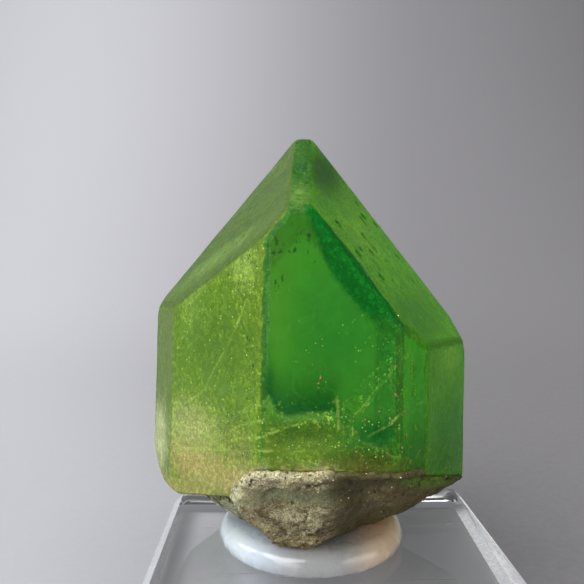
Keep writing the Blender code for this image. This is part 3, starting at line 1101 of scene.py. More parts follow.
def bent_sheet(columns, rows, shape):
    """A grid whose points shape(u, v) places in the crystal's axes, with u and v from 0 to 1."""
    bm = bmesh.new()
    bmesh.ops.create_grid(bm, x_segments=columns, y_segments=rows, size=0.5)
    for vert in bm.verts:
        vert.co = shape(vert.co.x + 0.5, vert.co.y + 0.5)
    outside = [v for v in bm.verts if not inside_stone(v.co, SHEET_DEPTH)]
    bmesh.ops.delete(bm, geom=outside, context="VERTS")
    bmesh.ops.transform(bm, matrix=crystal_to_room, verts=bm.verts[:])
    bmesh.ops.solidify(bm, geom=bm.faces[:], thickness=SHEET_THICKNESS * MM)
    bmesh.ops.recalc_face_normals(bm, faces=bm.faces[:])
    return bm


def fracture_point(u, v):
    """The fracture runs along its crest with u, and goes down into the stone with v."""
    x = FRACTURE_CREST[0][0] + u * (FRACTURE_CREST[-1][0] - FRACTURE_CREST[0][0])
    y = FRACTURE_FRONT + v * (FRACTURE_BACK - FRACTURE_FRONT)
    p = Vector((x, y, level(FRACTURE_CREST, x) - v * FRACTURE_DROP))
    p.z += 0.5 * cloud(p, 2.2, 6.0) + 0.22 * cloud(p, 0.7, 1.0)
    return p


def wisp_point(u, v):
    """The wisp rises to the right with u, and goes back into the stone with v."""
    p = Vector((2.6 + 5.4 * u, -13.6 + 3.0 * v, -7.4 + 7.0 * u ** 1.4 + 1.3 * v))
    p.x += 0.35 * cloud(p, 1.6, 7.0) - 0.5 * v
    return p


def make_veil():
    mat, tree, shader = new_material("healed_veil")
    place = object_mm(tree)
    patches = effect(tree, "soft_patches", place, Size=1.1)["Patches"]
    grain = effect(tree, "fine_grain", place, Size=0.22)["Grain"]
    specks = effect(tree, "scattered_specks", place, Spacing=0.35, Width=0.5, Share=0.35)["Specks"]
    haze = times(tree, patches, ramp(tree, grain, 0.42, 0.62, 0.05, 0.5))
    alpha = calculate(tree, "ADD", haze, times(tree, specks, 0.8), clamp=True)
    join(tree, alpha, shader.inputs["Alpha"])
    colour = mix_colour(tree, specks, opaque(206, 190, 104), opaque(255, 240, 184))
    join(tree, colour, shader.inputs["Base Color"])
    join(tree, colour, shader.inputs["Emission Color"])
    shader.inputs["Emission Strength"].default_value = INNER_GLOW
    join(tree, bump(tree, grain, 0.8, 0.08), shader.inputs["Normal"])
    shader.inputs["Roughness"].default_value = 0.28
    return mat


print("depth of the fracture's front edge in mm:", FACE_REACH["front"] + FRACTURE_FRONT)
veil = make_veil()
for name, columns, rows, shape in (
    ("healed_fracture", 150, 60, fracture_point),
    ("rising_wisp", 60, 20, wisp_point),
):
    sheet = finish_piece(name, bent_sheet(columns, rows, shape), veil)

# %% [markdown]
# Flakes and needles are tiny closed shapes near the front: double cones, flat with six sides for
# a flake, and long and thin with five for a needle. Many copies share one mesh, because one
# object per flake would make the scene slow to draw and to sort.

# %% Small double cones
FLAKE_SIDES, NEEDLE_SIDES = 6, 5


def scatter_piece(name, places, sides, material):
    """One mesh of many small double cones: a place, a turn and three half sizes for each."""
    bm = bmesh.new()
    for spot, turn, half in places:
        shape = Matrix.LocRotScale(spot, turn, Vector(half))
        for up in (1.0, -1.0):
            side = Matrix.Translation((0.0, 0.0, 0.5 * up)) @ Matrix.Scale(up, 4, (0, 0, 1))
            bmesh.ops.create_cone(
                bm,
                cap_ends=False,
                segments=sides,
                radius1=1.0,
                radius2=0.0,
                depth=1.0,
                matrix=crystal_to_room @ shape @ side,
            )
    bmesh.ops.remove_doubles(bm, verts=bm.verts[:], dist=1e-7)
    bmesh.ops.recalc_face_normals(bm, faces=bm.faces[:])
    piece = finish_piece(name, bm, material)


def make_inclusion(name, first, second, roughness, glow=0.0):
    """A grainy material that goes from a first to a second colour."""
    mat, tree, shader = new_material(name)
    grain = effect(tree, "fine_grain", object_mm(tree), Size=0.25)
    colour = mix_colour(tree, grain["Grain"], opaque(*first), opaque(*second))
    join(tree, colour, shader.inputs["Base Color"])
    join(tree, colour, shader.inputs["Emission Color"])
    shader.inputs["Emission Strength"].default_value = glow
    join(tree, bump(tree, grain["Grain"], 0.5, 0.03), shader.inputs["Normal"])
    shader.inputs["Roughness"].default_value = roughness
    return mat


print("triangles in a flake and in a needle:", 2 * FLAKE_SIDES, 2 * NEEDLE_SIDES)

# %% [markdown]
# The flakes lie in loose clusters inside the stone, and a place outside it is left out.

# %% Flashing flakes
# count, middle, spread (x, y, z), size range
FLAKE_CLUSTERS = [
    (30, (1.3, -13.9, -7.0), (0.5, 0.4, 0.5), (0.07, 0.19)),
    (14, (3.1, -13.8, -7.8), (0.9, 0.4, 1.1), (0.04, 0.11)),
    (18, (6.5, -13.6, -3.2), (0.3, 0.4, 2.2), (0.03, 0.09)),
    (40, (2.0, -13.6, -2.0), (3.2, 0.8, 3.2), (0.03, 0.07)),
    (50, (-8.0, -11.0, -9.0), (2.2, 0.4, 2.2), (0.04, 0.10)),
    (46, (-1.5, -13.7, -9.2), (2.6, 0.6, 1.4), (0.04, 0.10)),
]
FLAKE_SHAPE, FLAKE_DEPTH = (1.0, 0.7, 0.25), 0.35
flakes = []
for count, middle, spread, sizes in FLAKE_CLUSTERS:
    for _ in range(count):
        spot = Vector([dice.gauss(m, s) for m, s in zip(middle, spread)])
        size = dice.uniform(*sizes)
        turn = Euler([dice.uniform(0.0, math.tau) for _ in range(3)])
        if inside_stone(spot, FLAKE_DEPTH):
            flakes.append((spot, turn, [size * share for share in FLAKE_SHAPE]))
flake_tones = (255, 180, 100), (255, 240, 200)
bright_flake = make_inclusion("bright_flake", *flake_tones, 0.2, 3.0 * INNER_GLOW)
scatter_piece("flashing_flakes", flakes, FLAKE_SIDES, bright_flake)
print("flakes inside the stone:", len(flakes), "of", sum(row[0] for row in FLAKE_CLUSTERS))

# %% [markdown]
# The needles break through the surface of the front faces, so `front_depth` gives their depth.

# %% Brown needles
# middle (x, z), length, turn in degrees
NEEDLES = [
    ((6.4, -4.8), 0.55, -50), ((6.0, -6.5), 0.4, -20), ((7.1, -6.1), 0.5, 20),
    ((7.2, -7.8), 0.55, 24), ((6.9, -8.6), 0.4, 8), ((8.5, -7.4), 0.45, -20),
    ((5.2, -6.0), 0.3, 70), ((3.6, -8.9), 0.45, 60), ((8.4, -9.1), 0.35, 75),
    ((4.4, -10.0), 0.3, 80), ((0.8, -4.1), 0.35, 30), ((0.95, -3.7), 0.55, 6),
    ((7.6, -8.7), 0.4, 30), ((4.2, -6.6), 0.3, 75),
]
NEEDLE_WIDTH, NEEDLE_THICKNESS, NEEDLE_LEAN = 0.12, 0.07, 0.25


def front_depth(x):
    """Where the crystal's front faces lie at x, in its own axes."""
    depths = []
    for face in ("front", "front_left", "front_right"):
        way = face_direction[face]
        depths.append((FACE_REACH[face] - way.x * x) / way.y)
    return max(depths)


needles = []
for (x, z), length, turn in NEEDLES:
    tilt = Euler((NEEDLE_LEAN, math.radians(turn), 0.0))
    half = (NEEDLE_WIDTH, NEEDLE_THICKNESS, 0.5 * length)
    needles.append((Vector((x, front_depth(x), z)), tilt, half))
rusty_needle = make_inclusion("rusty_needle", (84, 70, 32), (156, 142, 84), 0.6)
scatter_piece("brown_needles", needles, NEEDLE_SIDES, rusty_needle)
print("needles:", len(needles))

# %% [markdown]
# ## The rock foot
# The crystal grew from a broken lump of rock, pale and crusty where they meet, with a smooth
# band below, then a pitted knob that ends in a stained tip. These zones steer the rock's relief
# as well as its paint, so one function gives them, and waves in it keep their borders uneven.

# %% The rock's zones
def rock_zones(p):
    """How much crust, smooth band, knob, stained tip, right slope and left sliver a point has."""
    wave = 0.25 * cloud(p, 1.3, 8.0)
    left = ease(-p.x, 4.8, 5.7)
    right = ease(p.x + wave, 1.4, 3.6)
    middle = (1.0 - left) * (1.0 - right)
    crust = ease(p.z + wave, -12.6, -11.8)
    knob = ease(-p.z + wave, 13.4, 13.9)
    tip = blot(p, (-1.8, -17.8), (2.2, 1.2), 0.0)
    band = (1.0 - crust) * (1.0 - knob)
    crust *= (1.0 - left) * (1.0 - 0.9 * ease(p.x + wave, 1.0, 2.4))
    return {"crust": crust, "band": band * middle, "knob": knob * middle,
            "tip": tip, "right": right, "left": left}


knob_place = Vector((-1.0, -12.0, -14.5))
print("zones of a point on the knob:", {z: round(v, 2) for z, v in rock_zones(knob_place).items()})

# %% [markdown]
# Rock laps over the crystal's lower edge. It is built of lumps set along the joint, each sunk so
# far that only a little of it stands out. Behind each lump left of BEHIND_END lies a second,
# larger lump that fills the gap under the crystal. Lumps to the right are smaller: the crust
# thins out there.

# %% Lumps of crust along the joint
CRUST_LUMPS, LUMPS_START, LUMPS_SPAN = 100, -4.7, 13.2
LUMP_SHAPE, LUMP_SIZES, LUMP_SHOWS = Vector((1.5, 1.0, 0.8)), (0.42, 0.66), (0.16, 0.34)
BEHIND_END, BEHIND_BACK, BEHIND_DOWN, BEHIND_SCALE = 3.0, 0.9, 0.6, 1.2
# the crystal's lower edge, where the crust laps over it, as (x, height)
JOINT_LINE = [
    (-5.0, -12.9), (-4.6, -12.5), (-3.5, -11.1), (-3.2, -10.9), (1.5, -10.8), (2.5, -10.55),
    (8.6, -10.6),
]


def add_crust_lumps(bm):
    """Adds the lumps to the rock's solid; the even net melts them together."""
    lump_dice = random.Random(5)
    for step in range(CRUST_LUMPS):
        x = LUMPS_START + LUMPS_SPAN * (step + lump_dice.random()) / CRUST_LUMPS
        on_left = ease(-x, 3.1, 3.6)
        on_right = ease(x, 1.2, 2.6)
        size = lump_dice.uniform(*LUMP_SIZES) * (1.0 - 0.22 * on_right) * (1.0 + 0.3 * on_left)
        z = level(JOINT_LINE, x) + lump_dice.uniform(-0.3, 0.1) * (1.0 - 0.6 * on_right)
        half = LUMP_SHAPE * size
        spot = Vector((x, front_depth(x) + half.y - lump_dice.uniform(*LUMP_SHOWS), z))
        turn = Euler([lump_dice.uniform(-0.5, 0.5) for _ in range(3)])
        lumps = [(spot, half)]
        if x < BEHIND_END:
            behind = Vector((x, spot.y + BEHIND_BACK, z - BEHIND_DOWN))
            lumps.append((behind, BEHIND_SCALE * half))
        for middle, reach in lumps:
            place = crystal_to_room @ Matrix.LocRotScale(middle, turn, reach)
            bmesh.ops.create_icosphere(bm, subdivisions=2, radius=1.0, matrix=place)


rock_solid = merged_copy("matrix")
add_crust_lumps(rock_solid)
print("rock's solid with its lumps:", len(rock_solid.faces), "faces")

# %% [markdown]
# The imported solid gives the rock's mass and reach. A net of 0.15 mm over it has room for the
# crust, pits and cracks, and `fractal` noise roughens it at several sizes at once. Where the rock
# faces up behind the crystal's front, it is lifted evenly, which closes the joint.

# %% The rock's relief
ROCK_CELL = 0.15 * MM
ROCK_RISE = 0.34
FINE_SHIFT = Vector((5.0, 1.0, 2.0))


def rock_relief(vert):
    """How far a point of the rock moves along its own direction, in millimetres."""
    p = room_to_crystal @ vert.co
    turned = room_to_crystal_turn @ vert.normal
    if turned.z > 0.6 and p.y > front_depth(p.x) + 1.0:
        return ROCK_RISE
    zones = rock_zones(p)
    rough = 0.10 + 0.24 * zones["knob"] + 0.20 * zones["crust"] * (1.0 - 0.7 * zones["right"])
    rough += 0.15 * zones["tip"] - 0.04 * zones["band"]
    coarse = noise.fractal(p / 1.3, 0.9, 2.1, 4)
    fine = noise.fractal(p / 0.42 + FINE_SHIFT, 0.7, 2.3, 3)
    pits = max(0.0, cloud(p, 0.55, 3.0) - 0.25) * (zones["knob"] + 0.6 * zones["crust"])
    return rough * (0.6 * coarse + 0.5 * fine) - 0.5 * pits - 0.12


rock_bm = even_net(rock_solid, ROCK_CELL)
move_along_normals(rock_bm, rock_relief)
print("rock net:", len(rock_bm.verts), "vertices")

# %% [markdown]
# The rock's colours follow the same zones as its shape. Cream mineral fills the crust and the
# knob, with black grains in it. The band and the right slope are smooth olive brown, the tip is
# stained yellow and rust, and the left side is dark with white streaks. Over the zones lie
# marks, the larger patches of one mineral. Each is an oval, broken up by the same mottle. The
# green mark under the crystal's right end is partly the crystal's own green reaching into the
# rock and partly painted light: the green light that passes through the crystal onto it.

# %% The rock's colours
ROCK_BASE = (150, 146, 112)
ROCK_PAINT = {
    "crust": (248, 242, 200),
    "band": (192, 198, 160),
    "knob": (226, 216, 172),
    "right": (120, 113, 72),
    "left": (220, 226, 196),
    "tip": (176, 160, 116),
}
# middle (x, z), half size (x, z), turn in degrees, colour, strength, how broken up it is
ROCK_MARKS = [
    ((-2.9, -11.2), (1.7, 0.7), 8, (255, 250, 224), 0.95, 0.45),
    ((-4.5, -12.9), (1.0, 0.8), -20, (236, 230, 190), 0.9, 0.6),
    ((-0.5, -11.1), (1.4, 0.4), 0, (236, 228, 182), 0.8, 0.5),
    ((-2.1, -13.1), (2.4, 0.5), 4, (196, 200, 166), 0.8, 0.2),
    ((-1.0, -14.8), (2.7, 0.75), 4, (255, 250, 216), 0.95, 0.5),
    ((-0.3, -13.1), (1.6, 0.6), 0, (150, 152, 118), 0.75, 0.1),
    ((1.7, -14.9), (1.2, 1.0), 0, (120, 112, 80), 0.7, 0.3),
    ((0.2, -16.6), (1.7, 0.8), 0, (164, 158, 128), 0.7, 0.3),
    ((-2.6, -15.6), (1.2, 0.35), -42, (226, 200, 120), 0.9, 0.5),
    ((-2.2, -16.1), (1.7, 0.22), -42, (70, 50, 30), 0.9, 0.3),
    ((-3.5, -14.8), (0.6, 0.5), 0, (104, 80, 50), 0.7, 0.4),
    ((-1.8, -17.9), (1.6, 0.7), 0, (190, 176, 128), 0.8, 0.4),
    ((2.8, -12.6), (1.7, 2.2), 0, (92, 88, 50), 0.9, 0.25),
    ((3.2, -16.0), (2.4, 1.2), 14, (104, 92, 62), 0.8, 0.4),
    ((3.4, -14.4), (1.8, 0.3), 8, (170, 158, 126), 0.6, 0.8),
    ((6.1, -14.0), (1.8, 1.7), 20, (180, 174, 140), 0.6, 0.7),
    ((5.0, -10.9), (3.6, 0.8), 0, (96, 94, 40), 0.95, 0.1),
    # partly the crystal's green, partly painted light that passes through the crystal onto the rock
    ((10.0, -12.9), (3.2, 0.9), -18, (120, 176, 44), 0.95, 0.2),
    ((9.6, -15.2), (3.0, 0.9), -24, (150, 128, 76), 0.7, 0.3),
]


def rock_ground(p, zones, mottle):
    """The rock's colour from its zones and the marks over them."""
    colour = paint(*ROCK_BASE)
    for zone, share in zones.items():
        colour = mixed(colour, paint(*ROCK_PAINT[zone]), share)
    for middle, half, turn, mark, strength, broken in ROCK_MARKS:
        share = strength * blot(p, middle, half, turn)
        if share > 0.02:
            share *= 1.0 - broken * (1.0 - ease(mottle, -0.15, 0.3))
            colour = mixed(colour, paint(*mark), share)
    return colour


print("marks on the rock:", len(ROCK_MARKS))

# %% [markdown]
# Finer things come last, each from a noise of its own: cream patches, white and black streaks
# along a slant at the left, brown cracks where a noise crosses its middle, black grains, and rust
# round the tip. The gash is a long dark cleft in the crust, filled with black grains.

# %% Streaks, cracks and grains
CREAM, STREAK, BLACK_GRAIN, RUST = (255, 250, 222), (250, 255, 226), (20, 22, 30), (104, 62, 34)
CRACK_BROWN = (58, 46, 30)
GASH_MIDDLE, GASH_HALF, GASH_TURN = (0.4, -11.55), (1.35, 0.27), 21.0


def layered(p):
    """Stretches the rock's patterns level, because its minerals lie in flat lenses."""
    return Vector((p.x / 2.2, p.y / 2.2, p.z))


def rock_colour(p, zones):
    """The rock's whole colour at a point."""
    mottle = cloud(layered(p), 0.42, 5.0) + 0.7 * cloud(p, 0.22, 2.0)
    colour = rock_ground(p, zones, mottle)
    pale = ease(mottle, 0.05, 0.5) * max(0.5 * zones["crust"], 0.6 * zones["knob"], 0.1)
    colour = mixed(colour, paint(*CREAM), pale * (1.0 - 0.7 * zones["right"]))
    slant = Vector(((0.8 * p.x - 0.6 * p.z) / 4.0, 0.5 * p.y, 0.6 * p.x + 0.8 * p.z))
    bars = cloud(slant, 0.34, 6.0) + 0.3 * mottle
    colour = mixed(colour, paint(*STREAK), zones["left"] * ease(bars, 0.05, 0.3))
    colour = mixed(colour, paint(*BLACK_GRAIN), 0.85 * zones["left"] * ease(-bars, 0.1, 0.35))
    gap = abs(cloud(layered(p), 1.3, 7.0) + 0.1 * mottle)
    crack = ease(0.05 - gap, 0.0, 0.04) * max(0.8 * zones["knob"], 0.7 * zones["right"])
    colour = mixed(colour, paint(*CRACK_BROWN), crack)
    dark = ease(cloud(p, 0.26, 11.0), 0.4, 0.5) * max(zones["crust"], 0.7 * zones["knob"], 0.5)
    gash = blot(p, GASH_MIDDLE, GASH_HALF, GASH_TURN) * ease(cloud(p, 0.34, 12.0), -0.4, -0.2)
    colour = mixed(colour, paint(*BLACK_GRAIN), max(0.9 * dark, 0.95 * gash))
    rust = ease(cloud(p, 0.8, 13.0), 0.15, 0.4) * max(zones["tip"], 0.4 * zones["knob"])
    return mixed(colour, paint(*RUST), 0.6 * rust)


def rock_grit(zones):
    """How gritty the rock is: full on crust and knob, little on the smooth band and right slope."""
    return 1.0 - 0.8 * zones["band"] * (1.0 - zones["left"]) - 0.35 * zones["right"]


stains, grit = [], []
for vert in rock_bm.verts:
    p = room_to_crystal @ vert.co
    zones = rock_zones(p)
    stains.append(rock_colour(p, zones))
    grit.append(rock_grit(zones))
print("mean grit of the rock:", round(sum(grit) / len(grit), 3))

# %% [markdown]
# The material adds the grain that is finer than the net. Where the painted grit is high, the
# hollows between the grains are dark, and on the smooth band they nearly vanish.

# %% The rock's material
def make_rock():
    mat, tree, shader = new_material("matrix_rock")
    place = object_mm(tree)
    grain = effect(tree, "fine_grain", place, Size=0.12)
    patches = effect(tree, "soft_patches", place, Size=1.6)["Patches"]
    cells = mix_colour(tree, grain["Cells"], opaque(204, 201, 192), opaque(255, 254, 248))
    hollow = painted_value(tree, "grit")
    hollow = mix_colour(tree, hollow, opaque(222, 221, 212), opaque(166, 163, 150))
    sharp = ramp(tree, grain["Grain"], 0.36, 0.62)
    grains = mix_colour(tree, sharp, hollow, opaque(255, 255, 250))
    grains = mix_colour(tree, 1.0, cells, grains, "MULTIPLY")
    shade = mix_colour(tree, patches, opaque(226, 224, 218), opaque(255, 255, 255))
    colour = mix_colour(tree, 1.0, painted_colour(tree, "stain"), grains, "MULTIPLY")
    colour = mix_colour(tree, 1.0, colour, shade, "MULTIPLY")
    black = effect(tree, "scattered_specks", place, Spacing=0.42, Width=0.6, Share=0.12)["Specks"]
    colour = mix_colour(tree, times(tree, black, 0.8), colour, opaque(30, 30, 32))
    dust = effect(tree, "scattered_specks", place, Spacing=0.3, Width=0.36, Share=0.14)["Specks"]
    colour = mix_colour(tree, dust, colour, opaque(226, 220, 188))
    join(tree, colour, shader.inputs["Base Color"])
    join(tree, ramp(tree, grain["Grain"], 0.3, 0.7, 0.62, 0.92), shader.inputs["Roughness"])
    height = calculate(tree, "ADD", grain["Grain"], grain["Cells"])
    join(tree, bump(tree, height, 0.7, 0.06), shader.inputs["Normal"])
    return mat


rock = finish_piece("rock_foot", rock_bm, make_rock())
add_paint(rock.data, "stain", stains)
add_paint(rock.data, "grit", grit)
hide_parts("matrix")

# %% [markdown]
# ## The mounting putty
# The putty is a soft puck pressed flat by the stone's weight. A spin turns half of its section
# round the puck's axis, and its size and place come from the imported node's box.

# %% The putty's shape
PUTTY_STEPS, PUTTY_EDGE_STEPS = 144, 8
PUTTY_EDGE = 1.2 * MM
PUTTY_FOOT = 0.3 * MM
putty_low, putty_high = (Vector(corner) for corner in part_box("mounting_putty"))
putty_middle = (putty_low + putty_high) / 2
putty_radius = (putty_high.x - putty_low.x) / 2
putty_top = putty_high.z - 0.12 * MM


def putty_section():
    """Half of the puck's section, as (distance from the axis, height): top, round edge, foot."""
    points = [(0.0, putty_top), (0.45 * putty_radius, putty_top - 0.02 * MM)]
    for step in range(PUTTY_EDGE_STEPS * 3 // 2 + 1):
        angle = math.pi / 2 * (1.0 - step / PUTTY_EDGE_STEPS)
        drop = PUTTY_EDGE * (1.0 - math.sin(angle))
        out = putty_radius - PUTTY_EDGE * (1.0 - math.cos(angle))
        points.append((out, putty_top - 0.08 * MM - drop))
    points = [point for point in points if point[1] > putty_low.z]
    return points + [(putty_radius - PUTTY_FOOT, putty_low.z), (0.0, putty_low.z)]


putty_bm = bmesh.new()
ring = []
for out, up in putty_section():
    ring.append(putty_bm.verts.new((putty_middle.x + out, putty_middle.y, up)))
bars = [putty_bm.edges.new(pair) for pair in zip(ring, ring[1:])]
bmesh.ops.spin(
    putty_bm,
    geom=ring + bars,
    axis=(0.0, 0.0, 1.0),
    cent=(putty_middle.x, putty_middle.y, 0.0),
    angle=math.tau,
    steps=PUTTY_STEPS,
    use_merge=True,
)
bmesh.ops.remove_doubles(putty_bm, verts=putty_bm.verts[:], dist=1e-6)
bmesh.ops.recalc_face_normals(putty_bm, faces=putty_bm.faces[:])
for vert in putty_bm.verts:
    if vert.co.z > putty_low.z + 0.2 * MM:
        vert.co.z += 0.05 * MM * cloud(vert.co / MM, 3.5, 1.0) - 0.02 * MM
print("putty radius in mm:", round(putty_radius / MM, 2))

# %% [markdown]
# Light sinks a few millimetres into the milky body, which subsurface scattering copies. Its colour
# holds painted light, bluish on the side of the window and warm on the other, with a darker grey
# of painted shade between them. A thin clear coat gives it its sharp highlight.

# %% The putty's material
def make_putty():
    mat, tree, shader = new_material("milky_putty")
    place = object_mm(tree)
    across = add(tree, "ShaderNodeSeparateXYZ", {"Vector": place}).outputs["X"]
    # painted light: bluish on the window side, warm on the other; the grey between is painted shade
    left, right = ramp(tree, across, -8.5, -3.0), ramp(tree, across, 4.5, 7.5)
    cool_window_light = mix_colour(tree, left, opaque(222, 236, 255), opaque(174, 176, 178))
    warm_side_light = mix_colour(tree, right, opaque(236, 210, 180), opaque(255, 238, 208))
    tone = mix_colour(tree, ramp(tree, across, 0.0, 5.0), cool_window_light, warm_side_light)
    patches = effect(tree, "soft_patches", place, Size=4.0)["Patches"]
    cloudy = mix_colour(tree, patches, opaque(236, 236, 236), opaque(255, 255, 255))
    join(tree, mix_colour(tree, 1.0, tone, cloudy, "MULTIPLY"), shader.inputs["Base Color"])
    grain = effect(tree, "fine_grain", place, Size=1.5)["Grain"]
    join(tree, ramp(tree, grain, 0.3, 0.7, 0.22, 0.32), shader.inputs["Roughness"])
    join(tree, bump(tree, grain, 0.1, 0.03), shader.inputs["Normal"])
    shader.inputs["Subsurface Weight"].default_value = 1.0
    shader.inputs["Subsurface Radius"].default_value = (1.0, 0.9, 0.8)
    shader.inputs["Subsurface Scale"].default_value = 3.5 * MM
    shader.inputs["Coat Weight"].default_value = 1.0
    shader.inputs["Coat Roughness"].default_value = 0.06
    shader.inputs["IOR"].default_value = 1.45
    return mat


putty = finish_piece("milky_putty", putty_bm, make_putty())
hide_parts("mounting_putty")

# %% [markdown]
# ## The acrylic block
# The block is cast acrylic with a polished top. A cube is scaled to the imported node's box. Three
# bevels follow: round upright corners, a flat ground chamfer round the top and bottom, and a
# hair-thin rounding on the chamfer's own edges, which is what catches the light as bright lines.

# %% The block's shape
CORNER_RADIUS, CHAMFER, POLISHED_EDGE = 1.8 * MM, 0.9 * MM, 0.09 * MM
block_low, block_high = (Vector(corner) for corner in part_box("acrylic_base"))


def bevel_edges(bm, edges, offset, segments):
    bmesh.ops.bevel(
        bm,
        geom=edges,
        offset=offset,
        affect="EDGES",
        segments=segments,
        profile=0.5,
        material=-1,
        clamp_overlap=True,
    )


block_bm = bmesh.new()
bmesh.ops.create_cube(block_bm, size=1.0)
bmesh.ops.scale(block_bm, vec=block_high - block_low, verts=block_bm.verts[:])
bmesh.ops.translate(block_bm, vec=(block_high + block_low) / 2, verts=block_bm.verts[:])
upright = [e for e in block_bm.edges if abs(e.verts[0].co.z - e.verts[1].co.z) > MM]
bevel_edges(block_bm, upright, CORNER_RADIUS, 12)
rims = [e for e in block_bm.edges if abs(e.verts[0].co.z - e.verts[1].co.z) < 0.1 * MM]
bevel_edges(block_bm, rims, CHAMFER, 1)
creases = [e for e in block_bm.edges if e.calc_face_angle(0.0) > math.radians(30)]
bevel_edges(block_bm, creases, POLISHED_EDGE, 2)
bmesh.ops.recalc_face_normals(block_bm, faces=block_bm.faces[:])
print("block size in mm:", [round(v / MM, 2) for v in block_high - block_low])


# %% [markdown]
# The clear acrylic has faint scratches and smears. Its chamfers are only ground, so they are a
# second material on the same mesh. Light that enters the block runs inside it and leaves at the
# ground edges, brightest on the side away from the window. Shadow rays don't follow it there, so
# a weak glow stands in for it. It dies away at the back, and at the near end of the right edge.
# The chamfers' colour holds the same light: painted lighter to the right, with painted shade at
# the back and at the near end of the right edge.

# %% The block's materials
ACRYLIC_IOR = 1.49
EDGE_GLOW = 0.36


def make_acrylic():
    mat, tree, shader = new_material("clear_acrylic")
    place = object_mm(tree)
    grain = effect(tree, "fine_grain", place, Size=1.2)["Grain"]
    scratches = effect(tree, "growth_lines", place, Spacing=0.35, Stretch=40.0)["Lines"]
    smear = effect(tree, "soft_patches", place, Size=5.0)["Patches"]
    marks = times(tree, ramp(tree, scratches, 0.68, 0.74), smear)
    smooth = ramp(tree, grain, 0.3, 0.8, 0.02, 0.07)
    rough = calculate(tree, "ADD", smooth, times(tree, marks, 0.25))
    join(tree, rough, shader.inputs["Roughness"])
    clear = mix_colour(tree, marks, opaque(250, 251, 252), opaque(226, 228, 230))
    join(tree, clear, shader.inputs["Base Color"])
    join(tree, bump(tree, marks, 0.3, 0.02), shader.inputs["Normal"])
    shader.inputs["Transmission Weight"].default_value = 1.0
    shader.inputs["IOR"].default_value = ACRYLIC_IOR
    return mat


def make_ground_edge():
    mat, tree, shader = new_material("ground_edge")
    place = object_mm(tree)
    grain = effect(tree, "fine_grain", place, Size=0.25)
    strokes = effect(tree, "growth_lines", place, Spacing=0.3, Stretch=4.0)["Lines"]
    parts = add(tree, "ShaderNodeSeparateXYZ", {"Vector": place}).outputs
    across, away = parts["X"], parts["Y"]
    lit, rubbed = ramp(tree, across, -4.0, 9.0), ramp(tree, strokes, 0.4, 0.6)
    # painted light: the chamfers lighter to the right; below, painted shade at the back and near
    # the right end
    even = mix_colour(tree, lit, opaque(196, 197, 200), opaque(252, 253, 255))
    streaks = mix_colour(tree, rubbed, opaque(232, 233, 234), opaque(255, 255, 255))
    tone = mix_colour(tree, 1.0, even, streaks, "MULTIPLY")
    tone = mix_colour(tree, ramp(tree, away, 12.6, 15.0), tone, opaque(128, 129, 132))
    near_right_shade = times(tree, ramp(tree, away, 6.0, -8.0), ramp(tree, across, 4.0, 10.0))
    tone = mix_colour(tree, near_right_shade, tone, opaque(186, 187, 191))
    join(tree, tone, shader.inputs["Base Color"])
    glow = mix_colour(tree, ramp(tree, across, 4.0, 14.0), opaque(110, 110, 113), tone)
    join(tree, glow, shader.inputs["Emission Color"])
    shader.inputs["Emission Strength"].default_value = EDGE_GLOW
    join(tree, ramp(tree, grain["Grain"], 0.3, 0.7, 0.3, 0.5), shader.inputs["Roughness"])
    join(tree, bump(tree, grain["Cells"], 0.08, 0.02), shader.inputs["Normal"])
    shader.inputs["Transmission Weight"].default_value = 0.2
    shader.inputs["IOR"].default_value = ACRYLIC_IOR
    return mat


chamfers = [face for face in block_bm.faces if 0.3 < abs(face.normal.z) < 0.95]
for face in chamfers:
    face.material_index = 1
print("ground chamfer faces:", len(chamfers))
block = finish_piece("acrylic_block", block_bm, make_acrylic())
block.data.materials.append(make_ground_edge())
block.data.set_sharp_from_angle(angle=math.radians(25.0))
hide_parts("acrylic_base")

# %% [markdown]
# ## Floor and backdrop
# A sweep of paper: a plane whose far edge rises in a wide curve, so that no horizon shows. It
# lies a third of a millimetre under the block, because two faces in the same place flicker.

# %% The sweep
SWEEP_WIDTH, SWEEP_NEAR, SWEEP_BEND_START = 4.0, -1.0, 0.12
SWEEP_BEND, SWEEP_RISE, FLOOR_DROP = 0.6, 1.2, 0.3 * MM
sweep_bm = bmesh.new()
bmesh.ops.create_grid(sweep_bm, x_segments=1, y_segments=1, size=0.5)
stretch = (SWEEP_WIDTH, SWEEP_BEND_START - SWEEP_NEAR, 1.0)
bmesh.ops.scale(sweep_bm, verts=sweep_bm.verts[:], vec=stretch)
middle = (0.0, (SWEEP_BEND_START + SWEEP_NEAR) / 2, -FLOOR_DROP)
bmesh.ops.translate(sweep_bm, verts=sweep_bm.verts[:], vec=middle)
far_edge = [e for e in sweep_bm.edges if all(v.co.y > 0.0 for v in e.verts)]
bend = bmesh.ops.spin(
    sweep_bm,
    geom=far_edge + list({v for e in far_edge for v in e.verts}),
    axis=(1.0, 0.0, 0.0),
    cent=(0.0, SWEEP_BEND_START, SWEEP_BEND - FLOOR_DROP),
    angle=math.pi / 2,
    steps=32,
    use_merge=False,
)
top_edge = [item for item in bend["geom_last"] if isinstance(item, bmesh.types.BMEdge)]
wall = bmesh.ops.extrude_edge_only(sweep_bm, edges=top_edge)
wall_top = [item for item in wall["geom"] if isinstance(item, bmesh.types.BMVert)]
bmesh.ops.translate(sweep_bm, verts=wall_top, vec=(0.0, 0.0, SWEEP_RISE))
bmesh.ops.remove_doubles(sweep_bm, verts=sweep_bm.verts[:], dist=1e-6)
print("the sweep's bend starts", SWEEP_BEND_START, "m behind the middle, radius", SWEEP_BEND, "m")


